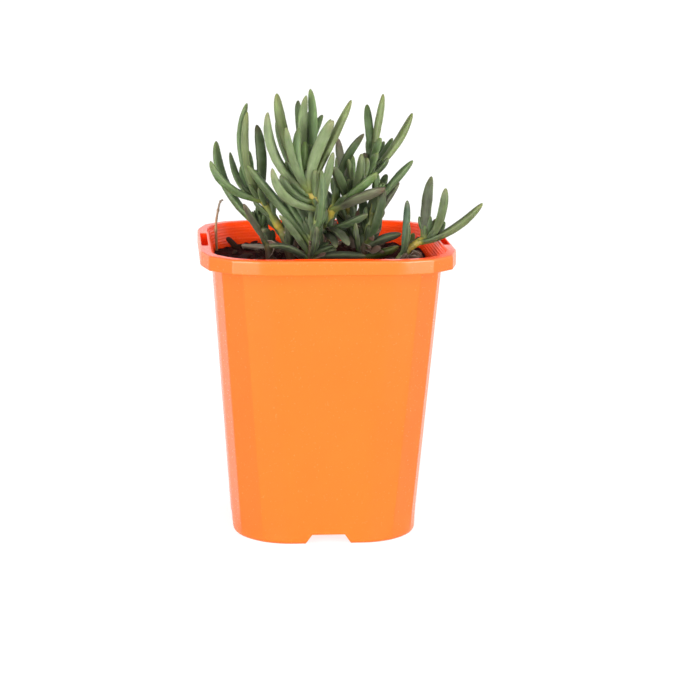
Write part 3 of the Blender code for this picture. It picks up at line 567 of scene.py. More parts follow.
def succulent_stem():
    """Green stem that turns yellow to orange at the nodes and corky brown near the soil."""
    material, tree, shader = new_material("succulent_stem")
    place = add(tree, "TexCoord").outputs["Object"]
    node = add(tree, "Attribute", attribute_name="node").outputs["Fac"]
    cork = add(tree, "Attribute", attribute_name="cork").outputs["Fac"]
    stretched = add(tree, "Mapping", {"Vector": place, "Scale": (1.0, 1.0, 0.2)}).outputs["Vector"]
    streak = add(tree, "TexNoise", {"Vector": stretched, "Scale": per(0.8), "Detail": 3.0}).outputs["Fac"]
    green = add(tree, "MixRGB", {
        "Fac": streak, "Color1": linear("#434C22"), "Color2": linear("#59612E")}).outputs["Color"]
    warm = add(tree, "MixRGB", {
        "Fac": streak, "Color1": linear("#707322"), "Color2": linear("#7C5C20")}).outputs["Color"]
    ringed = add(tree, "MixRGB", {"Fac": node, "Color1": green, "Color2": warm}).outputs["Color"]
    corky = add(tree, "MixRGB", {"Fac": cork, "Color1": ringed, "Color2": linear("#3F3120")}).outputs["Color"]
    bump = add(tree, "Bump", {"Height": streak, "Strength": 0.4, "Distance": 0.15 * MM}).outputs["Normal"]
    link(tree, shader, {
        "Base Color": corky, "Roughness": 0.55, "Normal": bump, "IOR": 1.42, "Subsurface Weight": 0.1,
        "Subsurface Radius": (1.0, 0.7, 0.2), "Subsurface Scale": 1.0 * MM})
    return material


def damp_peat():
    """Peat and composted bark, damp: near black, with brown crumbs and no gloss but a few wet glints."""
    material, tree, shader = new_material("damp_peat")
    place = add(tree, "TexCoord").outputs["Object"]
    lumps = add(tree, "TexNoise", {"Vector": place, "Scale": per(3.2), "Detail": 5.0}).outputs["Fac"]
    crumbs = add(tree, "TexVoronoi", {"Vector": place, "Scale": per(1.1)}).outputs["Distance"]
    tint = add(tree, "MapRange", {"Value": lumps, "From Min": 0.35, "From Max": 0.7}).outputs["Result"]
    colour = add(tree, "MixRGB", {
        "Fac": tint, "Color1": linear("#1A0605"), "Color2": linear("#401413")}).outputs["Color"]
    bump = add(tree, "Bump", {"Height": crumbs, "Strength": 0.8, "Distance": 0.6 * MM}).outputs["Normal"]
    link(tree, shader, {"Base Color": colour, "Roughness": 0.9, "Normal": bump, "Specular IOR Level": 0.1})
    return material


def pine_bark():
    """Chipped pine bark: dark red-brown layers with paler broken edges."""
    material, tree, shader = new_material("chipped_pine_bark")
    place = add(tree, "TexCoord").outputs["Object"]
    tint = add(tree, "Attribute", attribute_name="tint").outputs["Fac"]
    layer = add(tree, "Attribute", attribute_name="layer").outputs["Vector"]
    flakes = add(tree, "TexNoise", {"Vector": layer, "Scale": per(0.7), "Detail": 4.0}).outputs["Fac"]
    rough = add(tree, "TexNoise", {"Vector": place, "Scale": per(1.6), "Detail": 4.0}).outputs["Fac"]
    dark = add(tree, "MixRGB", {
        "Fac": flakes, "Color1": linear("#180706"), "Color2": linear("#331510")}).outputs["Color"]
    pale = add(tree, "MixRGB", {
        "Fac": flakes, "Color1": linear("#2D1D14"), "Color2": linear("#4D392A")}).outputs["Color"]
    colour = add(tree, "MixRGB", {"Fac": tint, "Color1": dark, "Color2": pale}).outputs["Color"]
    bump = add(tree, "Bump", {"Height": rough, "Strength": 0.6, "Distance": 0.3 * MM}).outputs["Normal"]
    link(tree, shader, {"Base Color": colour, "Roughness": 0.85, "Normal": bump, "Specular IOR Level": 0.12})
    return material


def dry_stalk():
    """A dead stalk: grey-tan fibre with darker streaks, orange-tan where it is damp near the soil."""
    material, tree, shader = new_material("dry_stalk")
    place = add(tree, "TexCoord").outputs["Object"]
    along = add(tree, "Attribute", attribute_name="along").outputs["Fac"]
    stretched = add(tree, "Mapping", {"Vector": place, "Scale": (1.0, 1.0, 0.2)}).outputs["Vector"]
    fibre = add(tree, "TexNoise", {"Vector": stretched, "Scale": per(0.5), "Detail": 4.0}).outputs["Fac"]
    low = add(tree, "MixRGB", {
        "Fac": fibre, "Color1": linear("#643E22"), "Color2": linear("#8B6641")}).outputs["Color"]
    high = add(tree, "MixRGB", {
        "Fac": fibre, "Color1": linear("#463C33"), "Color2": linear("#726353")}).outputs["Color"]
    rise = add(tree, "MapRange", {"Value": along, "From Min": 0.45, "From Max": 0.75}).outputs["Result"]
    colour = add(tree, "MixRGB", {"Fac": rise, "Color1": low, "Color2": high}).outputs["Color"]
    bump = add(tree, "Bump", {"Height": fibre, "Strength": 0.6, "Distance": 0.2 * MM}).outputs["Normal"]
    link(tree, shader, {"Base Color": colour, "Roughness": 0.8, "Normal": bump})
    return material


def withered_leaf(dark, pale):
    """A dead leaf: papery, with shrinkage wrinkles of two tints and a bleached edge."""
    material, tree, shader = new_material("withered_leaf")
    straight = add(tree, "Attribute", attribute_name="straight").outputs["Vector"]
    ridge = add(tree, "Attribute", attribute_name="ridge").outputs["Fac"]
    stretched = add(tree, "Mapping", {"Vector": straight, "Scale": (1.0, 1.0, 0.25)}).outputs["Vector"]
    wrinkle = add(tree, "TexNoise", {"Vector": stretched, "Scale": per(0.8), "Detail": 4.0}).outputs["Fac"]
    body = add(tree, "MixRGB", {
        "Fac": wrinkle, "Color1": linear(dark), "Color2": linear(pale)}).outputs["Color"]
    edge = add(tree, "Math", {0: ridge, 1: 0.5}, operation="MULTIPLY").outputs["Value"]
    colour = add(tree, "MixRGB", {"Fac": edge, "Color1": body, "Color2": linear("#ABA693")}).outputs["Color"]
    bump = add(tree, "Bump", {"Height": wrinkle, "Strength": 0.6, "Distance": 0.3 * MM}).outputs["Normal"]
    link(tree, shader, {"Base Color": colour, "Roughness": 0.75, "Normal": bump})
    return material


def white_paper():
    """Matt background paper, lit until it is nearly blank."""
    material, tree, shader = new_material("white_paper")
    link(tree, shader, {
        "Base Color": linear("#8C8C8A"), "Roughness": 0.9, "Specular IOR Level": 0.1,
        "Emission Color": (1.0, 1.0, 1.0, 1.0), "Emission Strength": 0.75})
    return material


# Surfaces

Sheet = namedtuple("Sheet", "points faces fields")


def closed_tube(rings, fields):
    """A tube over a grid of points, shape (rings, around, 3). A pole in its middle closes each end ring.

    `fields` gives a number or a vector for each point of the grid.
    """
    count, around = rings.shape[:2]
    points = np.vstack([rings.reshape(-1, 3), rings[0].mean(0), rings[-1].mean(0)])
    row, column = np.meshgrid(np.arange(count - 1), np.arange(around), indexing="ij")
    beside = (column + 1) % around
    low, high = row * around, (row + 1) * around
    quads = np.stack([low + column, low + beside, high + beside, high + column], -1).reshape(-1, 4)
    edge = np.arange(around)
    ahead = (edge + 1) % around
    first, last = count * around, count * around + 1
    start = np.stack([ahead, edge, np.full(around, first), np.full(around, first)], -1)
    end_row = (count - 1) * around
    end = np.stack([end_row + edge, end_row + ahead, np.full(around, last), np.full(around, last)], -1)
    full = {}
    for name, field in fields.items():
        flat = field.reshape(count * around, -1)
        full[name] = np.vstack([flat, flat[:around].mean(0), flat[-around:].mean(0)])
    return Sheet(points, np.vstack([quads, start, end]), full)


def joined(sheets):
    """Several sheets as one."""
    shift = np.cumsum([0] + [len(sheet.points) for sheet in sheets[:-1]])
    faces = np.vstack([sheet.faces + offset for sheet, offset in zip(sheets, shift)])
    names = sheets[0].fields
    fields = {name: np.vstack([sheet.fields[name] for sheet in sheets]) for name in names}
    return Sheet(np.vstack([sheet.points for sheet in sheets]), faces, fields)


def mesh_of(name, sheet, marks=None):
    """A mesh from a sheet. A face whose last two corners are one point is a triangle."""
    corners = np.where(sheet.faces[:, 2] == sheet.faces[:, 3], 3, 4)
    keep = np.ones(sheet.faces.shape, bool)
    keep[:, 3] = corners == 4
    loops = sheet.faces[keep]
    mesh = bpy.data.meshes.new(name)
    mesh.vertices.add(len(sheet.points))
    mesh.vertices.foreach_set("co", (sheet.points * MM).astype(np.float32).ravel())
    mesh.loops.add(len(loops))
    mesh.loops.foreach_set("vertex_index", loops.astype(np.int32))
    mesh.polygons.add(len(corners))
    mesh.polygons.foreach_set("loop_start", np.concatenate([[0], np.cumsum(corners)[:-1]]).astype(np.int32))
    if marks is not None:
        mesh.polygons.foreach_set("material_index", marks.astype(np.int32))
    mesh.update(calc_edges=True)
    kinds = {1: ("FLOAT", "value"), 3: ("FLOAT_VECTOR", "vector"), 4: ("FLOAT_COLOR", "color")}
    for field, values in sheet.fields.items():
        kind, slot = kinds[values.shape[1]]
        attribute = mesh.attributes.new(field, kind, "POINT")
        attribute.data.foreach_set(slot, values.astype(np.float32).ravel())
    mesh.validate()
    mesh.shade_smooth()
    return mesh


def show(name, mesh, materials, replaced=None):
    """Put a finished mesh in the scene as a piece that rides with the pot."""
    piece = bpy.data.objects.new(name, mesh)
    bpy.context.scene.collection.objects.link(piece)
    for material in materials:
        mesh.materials.append(material)
    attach(piece, "root")
    if replaced:
        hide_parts(replaced)


def smooth_path(points, steps):
    """Points on a smooth curve that passes through all the given ones."""
    points = np.array(points, dtype=float)
    padded = np.vstack([2 * points[0] - points[1], points, 2 * points[-1] - points[-2]])
    path = []
    for k in range(len(points) - 1):
        before, start, end, after = padded[k:k + 4]
        t = (np.arange(steps) / steps)[:, None]
        square = 2 * before - 5 * start + 4 * end - after
        cube = 3 * start - before - 3 * end + after
        path.append(0.5 * (2 * start + (end - before) * t + square * t ** 2 + cube * t ** 3))
    return np.vstack(path + [points[-1:]])


def frames(path):
    """Two unit vectors across a path at each of its points, carried along without a twist."""
    along = np.gradient(path, axis=0)
    along /= np.linalg.norm(along, axis=1, keepdims=True)
    side = np.cross(along[0], (0.0, 0.0, 1.0) if abs(along[0][2]) < 0.9 else (0.0, 1.0, 0.0))
    sides = []
    for direction in along:
        side = side - direction * side.dot(direction)
        side = side / np.linalg.norm(side)
        sides.append(side)
    sides = np.array(sides)
    return sides, np.cross(along, sides)


def tube_rings(path, radius, around):
    """Rings of radius `radius`, shape (points of the path, around), square to a path."""
    side, up = frames(path)
    angle = np.arange(around) / around * TURN
    across = side[:, None] * np.cos(angle)[None, :, None] + up[:, None] * np.sin(angle)[None, :, None]
    return path[:, None] + across * radius[..., None]


def waves(points, size, seed, octaves=3):
    """A smooth random field, mostly from -1 to 1, with lumps about `size` wide.

    It is a sum of sines along a few drawn directions. Each octave is half as wide and 0.55 times as strong
    as the one before.
    """
    draw = np.random.default_rng(seed)
    total = np.zeros(points.shape[:-1])
    weight = 0.0
    for octave in range(octaves):
        share = 0.55 ** octave
        for _ in range(5):
            direction = draw.normal(size=3)
            direction *= TURN / (size * 0.5 ** octave) / np.linalg.norm(direction) * draw.uniform(0.7, 1.4)
            total += share * np.sin(points @ direction + draw.uniform(0, TURN))
            weight += share * 0.45
    return np.clip(total / weight, -1.5, 1.5)


# Pot

def pot_ring(half, inset, z, smooth):
    """One level of the pot: a rounded square whose corners are facets, or an arc as `smooth` goes to 1.

    A facet is sampled a little inside its ends, so the edge between two facets is a narrow chamfer.
    Where the corner meets a flat side, the samples lie further from the edge, which makes it soft.
    """
    crisp = np.array([0.02, 0.07, 0.25, 0.5, 0.75, 0.93, 0.98])
    soft = np.array([0.13, 0.2, 0.3, 0.5, 0.75, 0.93, 0.98])
    shares_of = [soft] + [crisp] * (CORNER_FACETS - 2) + [1 - soft[::-1]]
    sides = np.array([0.035, 0.06, 0.12, 0.3, 0.5, 0.7, 0.88, 0.94, 0.965])
    corner = half - inset
    signs = ((1, 1), (-1, 1), (-1, -1), (1, -1))
    points = []
    for quarter, (side_x, side_y) in enumerate(signs):
        centre = np.array([side_x * inset, side_y * inset])
        for facet, shares in enumerate(shares_of):
            ends = (quarter + (facet + np.array([0.0, 1.0])) / CORNER_FACETS) * math.pi / 2
            start, end = (corner * np.array([math.cos(a), math.sin(a)]) for a in ends)
            angle = ends[0] + shares * (ends[1] - ends[0])
            chord = start + shares[:, None] * (end - start)
            arc = corner * np.stack([np.cos(angle), np.sin(angle)], -1)
            points.append(centre + chord + smooth * (arc - chord))
        last = centre + end
        next_x, next_y = signs[(quarter + 1) % 4]
        after = (quarter + 1) * math.pi / 2
        outward = np.array([math.cos(after), math.sin(after)])
        first = np.array([next_x * inset, next_y * inset]) + corner * outward
        points.append(last + sides[:, None] * (first - last))
    flat = np.vstack(points)
    return np.column_stack([flat, np.full(len(flat), z)])


def rounded(profile, steps=5):
    """A profile with each bend rounded to its radius by a quadratic curve, as a row for each level.

    A point of the profile is (half, inset, z, smooth, radius). One more level close to each end of the
    curve keeps the flats beside it flat.
    """
    profile = np.array(profile, float)
    longest, beside, furthest = 0.45, 0.8, 0.04
    rows = [profile[0, :4]]
    for before, here, after in zip(profile, profile[1:], profile[2:]):
        back, ahead = before[:4] - here[:4], after[:4] - here[:4]
        reach_back = min(here[4] / math.hypot(back[0], back[2]), longest)
        reach_ahead = min(here[4] / math.hypot(ahead[0], ahead[2]), longest)
        start, end = here[:4] + back * reach_back, here[:4] + ahead * reach_ahead
        rows.append(start + back * min(beside * reach_back, furthest))
        for t in np.linspace(0, 1, steps):
            rows.append((1 - t) ** 2 * start + 2 * t * (1 - t) * here[:4] + t ** 2 * end)
        rows.append(end + ahead * min(beside * reach_ahead, furthest))
    rows.append(profile[-1, :4])
    return np.array(rows)


def body_half(z):
    """Half width of the pot's body outside, at a height."""
    return BASE_HALF + (NECK_HALF - BASE_HALF) * z / NECK_Z


def body_inset(z):
    """How far the middle of each corner's arc lies from the pot's middle, along X and Y, at a height."""
    base, neck = BASE_HALF - BASE_CORNER, NECK_HALF - NECK_CORNER
    return base + (neck - base) * z / NECK_Z


def pot_sheet():
    """The pot's whole skin, from the middle of its underside, up the outside, over the rim and back in.

    It is a profile of rounded squares. The ribs inside are a cosine wave of the height, which fades out
    over the lowest rib.
    """
    rim_inset, mouth_inset = RIM_HALF - RIM_CORNER, MOUTH_HALF - MOUTH_CORNER
    neck_inset = NECK_HALF - NECK_CORNER
    under = POT_HEIGHT - RIM_TOP_SKIN
    skirt = POT_HEIGHT - RIM_DEPTH
    lip_end = POT_HEIGHT - LIP_DEPTH
    profile = [
        (CENTRE_HALF, 0.0, 0, 0, 0),
        (BASE_HALF, body_inset(0), 0, 1, 1.6),
        (body_half(FOOT_BLEND), body_inset(FOOT_BLEND), FOOT_BLEND, 0, 4.0),
        (NECK_HALF, neck_inset, NECK_Z, 0, 0.6),
        (MOUTH_HALF + MOUTH_SHELF, mouth_inset, under, 0, 0.6),
        (RIM_HALF - RIM_SKIN, rim_inset, under, 0, 0.5),
        (RIM_HALF - RIM_SKIN, rim_inset, skirt, 0, 0.2),
        (RIM_HALF, rim_inset, skirt, 0, 0.3),
        (RIM_HALF, rim_inset, POT_HEIGHT, 0, 0.8),
        (MOUTH_HALF, mouth_inset, POT_HEIGHT, 1, 0.6),
        (MOUTH_HALF - LIP_DRAW, mouth_inset, lip_end, 1, 0),
    ]
    low = POT_HEIGHT - (RIB_COUNT + 0.5) * RIB_PITCH
    levels = lip_end - (lip_end - low) * np.linspace(0, 1, RIB_COUNT * RIB_LEVELS + 1)[1:]
    share = (levels - low) / (POT_HEIGHT - low)
    shoulder = NECK_Z - WALL
    slope = (MOUTH_HALF - (NECK_HALF - WALL)) / (POT_HEIGHT - shoulder)
    half = np.minimum(body_half(levels), NECK_HALF) - WALL + np.maximum(levels - shoulder, 0) * slope
    groove = RIB_RELIEF * (0.5 - 0.5 * np.cos((levels - low) / RIB_PITCH * TURN))
    groove *= np.minimum(share * RIB_COUNT, 1)
    inset = body_inset(low) + (mouth_inset - body_inset(low)) * share
    ribs = np.column_stack([half - groove, inset, levels, np.full(len(levels), 1.0)])
    floor = rounded([
        (half[-1], inset[-1], low, 1, 0),
        (body_half(WALL) - WALL, body_inset(WALL), WALL, 0.2, 1.5),
        (CENTRE_HALF, 0.0, WALL, 0, 0),
    ])
    rows = np.vstack([rounded(profile), ribs, floor[1:]])
    rings = np.array([pot_ring(*row) for row in rows])
    return closed_tube(rings, {})


def bar(turn, near, far, low, top, z_low, z_top, lean=0.0):
    """A bar of trapezoid section that runs outwards to one side of the pot, made from a cube.

    Its near end leans out by `lean`.
    """
    angle = turn * TURN / 4
    work = bmesh.new()
    bmesh.ops.create_cube(work, size=2.0)
    for vert in work.verts:
        out = far if vert.co.x > 0 else near + (lean if vert.co.z > 0 else 0)
        across = vert.co.y * (top if vert.co.z > 0 else low) / 2
        z = z_top if vert.co.z > 0 else z_low
        x = out * math.cos(angle) - across * math.sin(angle)
        y = out * math.sin(angle) + across * math.cos(angle)
        vert.co = Vector((x, y, z)) * MM
    return work


def drain(turn):
    """A rod through the floor of one drain channel."""
    work = bmesh.new()
    radius = DRAIN_RADIUS * MM
    bmesh.ops.create_cone(
        work, cap_ends=True, segments=32, radius1=radius, radius2=radius, depth=DRAIN_DEPTH * MM)
    angle = turn * TURN / 4
    place = Vector((DRAIN_OUT * math.cos(angle), DRAIN_OUT * math.sin(angle), DRAIN_MIDDLE)) * MM
    bmesh.ops.translate(work, verts=work.verts, vec=place)
    return work


def combined(mesh, operation, shapes):
    """A mesh after one Boolean with several closed shapes."""
    collection = bpy.data.collections.new("cutters")
    bpy.context.scene.collection.children.link(collection)
    for work in shapes:
        shape = bpy.data.meshes.new("cutter")
        work.to_mesh(shape)
        work.free()
        collection.objects.link(bpy.data.objects.new("cutter", shape))
    item = bpy.data.objects.new("cut", mesh)
    bpy.context.scene.collection.objects.link(item)
    modifier = item.modifiers.new("cut", "BOOLEAN")
    modifier.operation = operation
    modifier.operand_type = "COLLECTION"
    modifier.collection = collection
    bpy.context.view_layer.update()
    made = bpy.data.meshes.new_from_object(item.evaluated_get(bpy.context.evaluated_depsgraph_get()))
    for thing in [item, *collection.objects]:
        bpy.data.objects.remove(thing, do_unlink=True)
    bpy.data.collections.remove(collection)
    return made


def make_pot():
    """The pot with its raised floor, drain channels and holes, and the four label pockets in its rim."""
    slant = (CHANNEL_LOW - CHANNEL_TOP) / CHANNEL_DEPTH
    channel = (CHANNEL_INNER_END, RIM_HALF, CHANNEL_LOW + slant * CHANNEL_PAST, CHANNEL_TOP)
    roof_end = body_half(CHANNEL_DEPTH / 2) - ROOF_INSIDE
    roof = (CHANNEL_INNER_END - WALL, roof_end, CHANNEL_LOW + 2 * WALL, CHANNEL_TOP + 2 * WALL)
    pocket_low, pocket_length = POT_HEIGHT - RIM_DEPTH + RIM_CHAMFER / 2, SLOT_LENGTH + 2 * WALL
    pocket = (POCKET_NEAR, RIM_HALF - RIM_SKIN / 2, pocket_length, pocket_length)
    slot = (SLOT_NEAR, SLOT_FAR, SLOT_LENGTH, SLOT_LENGTH)
    sides = range(4)
    grown = [bar(turn, *roof, ROOF_FROM, CHANNEL_DEPTH + WALL) for turn in sides]
    grown += [bar(turn, *pocket, pocket_low, POT_HEIGHT - RIM_TOP_SKIN / 2, POCKET_LEAN) for turn in sides]
    mesh = combined(mesh_of("pot_shell", pot_sheet()), "UNION", grown)
    cuts = []
    for turn in sides:
        cuts.append(bar(turn, *channel, -CHANNEL_PAST, CHANNEL_DEPTH))
        cuts.append(drain(turn))
        cuts.append(bar(turn, *slot, pocket_low + RIM_SKIN, POT_HEIGHT + SLOT_PAST))
    mesh = combined(mesh, "DIFFERENCE", cuts)
    mesh.shade_smooth()
    mesh.set_sharp_from_angle(angle=SHARP_ANGLE)
    show("pot_shell", mesh, [moulded_polypropylene()], "pot")


# Shoots

def stem_points(stem):
    """A stem's points with its foot below the soil put first."""
    first, second = np.array(stem[0], float), np.array(stem[1], float)
    lean = (second - first) / (second - first)[2]
    foot = first - lean * (first[2] - FOOT_Z) / 2
    foot[2] = FOOT_Z
    return [tuple(foot)] + list(stem)


def leaf_width(s, blunt):
    """Width along a leaf, from 0 to 1: it swells from the root to a shoulder and closes to a point.

    The point is rounder the higher `blunt` is.
    """
    grow = LEAF_ROOT_WIDTH + (1 - LEAF_ROOT_WIDTH) * np.sin(math.pi / 2 * np.minimum(s / SHOULDER, 1))
    past = np.maximum(s - SHOULDER, 0) / (1 - SHOULDER)
    return grow * np.sqrt(np.maximum(1 - past ** blunt, 0))


def leaf_section(angle):
    """A rounded triangle, one unit wide: nearly flat above, keeled below. Angle 0 is its left edge.

    Across goes as the cosine and is drawn in below. Height goes as powers of the sine, over one low above
    and one near to 1 below.
    """
    sine, cosine = np.sin(angle), np.cos(angle)
    above, below = np.maximum(sine, 0), np.maximum(-sine, 0)
    across = 0.5 * cosine * (1 - 0.28 * below ** 1.5)
    height = 0.05 + 0.28 * above ** 0.65 - 0.54 * below ** 0.92
    return across, height


def pointing(rise, turn):
    """Unit vectors that rise at one angle and point to the other, seen from above."""
    return np.stack([np.cos(rise) * np.cos(turn), np.cos(rise) * np.sin(turn), np.sin(rise)], 1)


def leaf_axis(root, leaf, s):
    """A leaf's axis at the shares `s` of its length: its points, and unit vectors to its left and up.

    It starts at `lift` and `heading` and bends by `curl` and `swing` times its share to the power `late`.
    """
    middle = (np.arange(AXIS_STEPS) + 0.5) / AXIS_STEPS
    rise = np.radians(leaf.lift + leaf.curl * middle ** leaf.late)
    turn = np.radians(leaf.heading + leaf.swing * middle ** leaf.late)
    axis = np.vstack([root, root + np.cumsum(pointing(rise, turn), 0) * leaf.length / AXIS_STEPS])
    fine = np.linspace(0, 1, AXIS_STEPS + 1)
    centre = np.stack([np.interp(LEAF_REACH * s, fine, axis[:, k]) for k in range(3)], 1)
    rise_s, turn_s = np.interp(s, middle, rise), np.interp(s, middle, turn)
    ahead = pointing(rise_s, turn_s)
    left = np.stack([-np.sin(turn_s), np.cos(turn_s), np.zeros(len(s))], 1)
    centre[0] -= ahead[0] * LEAF_BACK
    return centre, left, np.cross(ahead, left)


def leaf_stations(count):
    """Shares of a leaf's length, closer together at its root and its tip.

    They are a half cosine wave mixed with a power a little under 1 of even steps.
    """
    even = np.linspace(0, 1, count + 1)
    s = 0.5 - 0.5 * np.cos(np.linspace(0, math.pi, count + 1))
    s = (0.35 * s + 0.65 * even ** 0.9)[:-1]
    return s / s[-1] * LAST_STATION


def leaf_sheet(root, leaf, seed, thickness=LEAF_THICKNESS, shrunk=0.0, stations=46, around=26):
    """A leaf over (s along its axis, angle round it).

    Its section is scaled by the width, and its skin has shallow dents and three faint ridges.
    A dry leaf is `shrunk`: its dents are deep, and it twists along its length.
    """
    draw = np.random.default_rng(seed)
    s = leaf_stations(stations)
    centre, side, up = leaf_axis(root, leaf, s)

    angle = np.arange(around) / around * TURN
    across, height = leaf_section(angle)
    edges = (0, math.pi, -math.pi / 2)
    away = [np.angle(np.exp(1j * (angle - edge))) for edge in edges]
    ridge = np.clip(sum(np.exp(-((far / RIDGE_WIDTH) ** 2)) for far in away), 0, 1)
    swollen = 1 + ROOT_SWELL * np.exp(-((s / ROOT_REACH) ** 2))
    width = leaf.width * leaf_width(s, draw.uniform(*BLUNTNESS)) * swollen
    lengthwise = np.repeat(s[:, None] * leaf.length, around, 1)
    straight = np.stack([np.outer(width, across), np.outer(width, height * thickness), lengthwise], -1)
    place = straight + draw.uniform(0, 50, 3)
    dents = DENT_DEPTH * waves(place * (1, 1, 0.5), DENT_SIZE, seed)
    dents = dents + PIT_DEPTH * waves(place, PIT_SIZE, seed + 1, 2)
    dents = dents + SHRINK_DEPTH * shrunk * waves(place * (1, 1, 0.4), SHRINK_SIZE, seed + 2)
    twist = SHRINK_TWIST * shrunk * s[:, None] * draw.choice((-1, 1))
    side, up = np.cos(twist) * side + np.sin(twist) * up, np.cos(twist) * up - np.sin(twist) * side
    # The dents fade out towards the root
    swell = (1 + RIDGE_RELIEF * ridge)[None] * (1 + dents * np.clip(s * 6, 0, 1)[:, None])
    points = (centre[:, None] + side[:, None] * (straight[..., 0] * swell)[..., None]
              + up[:, None] * (straight[..., 1] * swell)[..., None])

    body, tip = (np.array(linear(code)) for code in TONES[leaf.tone])
    # A random tone for each leaf, times the painted shade for the height of its root
    light = draw.uniform(0.9, 1.1) * np.interp(root[2], *PAINTED_SHADE_BY_HEIGHT)
    shape = (stations, around)
    fields = {
        "skin": np.broadcast_to(body * (light, light, light, 1), (*shape, 4)),
        "tip": np.broadcast_to(tip, (*shape, 4)),
        "along": np.broadcast_to(s[:, None], shape),
        "ridge": np.broadcast_to(ridge[None] * np.clip((1 - s) * 8, 0, 1)[:, None], shape),
        "straight": place * MM,
        "node": np.zeros(shape),
        "cork": np.zeros(shape),
    }
    return closed_tube(points, fields)


def stem_sheet(shoot, path):
    """A stem over (place along its path, angle round it): thinner to its tip, a little swollen at its nodes.

    Five shallow grooves run along it, and fine rings go round it.
    """
    path = smooth_path(path, 3)
    count = len(path)
    share = np.linspace(0, 1, count)
    place = share * (len(shoot.stem)) - 1
    near = np.max([np.exp(-(((place - leaf.at) / NODE_REACH) ** 2)) for leaf in shoot.leaves], 0)
    yellow = np.max([np.exp(-(((place - at) / RIPE_REACH) ** 2)) for at in shoot.ripe], 0)
    radius = STEM_RADIUS + (STEM_TIP_RADIUS - STEM_RADIUS) * share
    radius = radius * (1 + NODE_SWELL * (near - 0.5))
    angle = np.arange(STEM_SIDES) / STEM_SIDES * TURN
    grooves, fine_rings = 0.03 * np.sin(5 * angle + 1)[None], 0.02 * np.sin(place * 19)[:, None]
    grooved = radius[:, None] * (1 + grooves + fine_rings)
    grooved[-1] *= 0.5
    rings = tube_rings(path, grooved, STEM_SIDES)
    shape = (count, STEM_SIDES)
    low = np.clip((shoot.cork - path[:, 2]) / CORK_BLEND, 0, 1)
    fields = {
        "skin": np.zeros((*shape, 4)),
        "tip": np.zeros((*shape, 4)),
        "along": np.broadcast_to(share[:, None], shape),
        "ridge": np.zeros(shape),
        "straight": rings * MM,
        "node": np.broadcast_to(yellow[:, None], shape),
        "cork": np.broadcast_to(low[:, None], shape),
    }
    return closed_tube(rings, fields)


def young_leaves(shoot, rng):
    """Short leaves in pairs: two opposite pairs at the stem's tip, and a pair beside every second leaf."""
    tip = len(shoot.stem) - 1
    rows = []
    heading = rng.uniform(0, 360)
    for length, turned in TIP_PAIRS:
        width = 0.15 * length + 0.9
        for side in (0, 180):
            lift = rng.uniform(*TIP_LIFT)
            rows.append(Leaf(tip, heading + turned + side, lift, TIP_CURL, length, width, tone="green"))
    for leaf in shoot.leaves[::2]:
        if leaf.at > 1:
            length = rng.uniform(*BESIDE_LENGTH)
            width = 0.14 * length + 0.8
            for side in BESIDE_TURNS:
                heading, curl = leaf.heading + side, leaf.curl / 2
                lift = min(leaf.lift + rng.uniform(*BESIDE_RISE), BESIDE_STEEPEST)
                # Leaves tucked beside the larger ones take the dark tone, which is partly painted shade
                rows.append(Leaf(leaf.at, heading, lift, curl, length, width, tone="dark"))
    return rows


def clasping_leaves(shoot, path, rng):
    """Short leaves that clasp the stem in opposite pairs, each pair a quarter turn on from the one below.

    They are a few millimetres apart, and there are none where the stem is bare.
    """
    along = np.gradient(path, axis=0)
    along /= np.linalg.norm(along, axis=1, keepdims=True)
    side, up = frames(path)
    reach = np.concatenate([[0], np.cumsum(np.linalg.norm(np.diff(path, axis=0), axis=1))])
    above = reach[path[:, 2] > CLASP_FROM]
    rows = []
    if len(above) == 0:
        return rows
    turned = rng.uniform(0, TURN)
    pairs = np.searchsorted(reach, np.arange(above[0], reach[-1] - CLASP_SHORT_OF_TIP, CLASP_SPACING))
    for number, k in enumerate(pairs):
        at = k / STEM_STEPS - 1
        if min(abs(at - bare) for bare in shoot.ripe) < BARE_REACH:
            continue
        for half in (0, 0.5):
            angle = turned + (number / 4 + half) * TURN
            out = side[k] * math.cos(angle) + up[k] * math.sin(angle)
            way = along[k] * math.cos(CLASP_ANGLE) + out * math.sin(CLASP_ANGLE)
            heading, lift = math.degrees(math.atan2(way[1], way[0])), math.degrees(math.asin(way[2]))
            length, width = rng.uniform(*CLASP_LENGTH), rng.uniform(*CLASP_WIDTH)
            # Clasping leaves take the dark tone, which is partly painted shade
            rows.append(Leaf(at, heading, lift, CLASP_CURL, length, width, tone="dark"))
    return rows


def root_of(leaf, path):
    """The point of a stem's path where a leaf grows."""
    return path[int(round((leaf.at + 1) * STEM_STEPS))]


def make_shoots():
    """Each shoot: its stem and its leaves, as one piece with a skin for each."""
    materials = [succulent_skin(), succulent_stem()]
    rng = random.Random(YOUNG_SEED)
    for number, shoot in enumerate(SHOOTS):
        path = smooth_path(stem_points(shoot.stem), STEM_STEPS)
        sheets = [stem_sheet(shoot, path)]
        for k, leaf in enumerate(shoot.leaves):
            sheets.append(leaf_sheet(root_of(leaf, path), leaf, 100 * number + k + 1))
        small = young_leaves(shoot, rng) + clasping_leaves(shoot, path, rng)
        small += SMALL_LEAVES.get(shoot.name, ())
        for k, leaf in enumerate(small):
            seed = 1000 + 100 * number + k
            sheets.append(leaf_sheet(root_of(leaf, path), leaf, seed, stations=20, around=16))
        marks = np.concatenate([np.full(len(sheet.faces), int(k == 0)) for k, sheet in enumerate(sheets)])
        mesh = mesh_of(shoot.name + "_grown", joined(sheets), marks)
        show(shoot.name + "_grown", mesh, materials, shoot.name)


# Potting mix

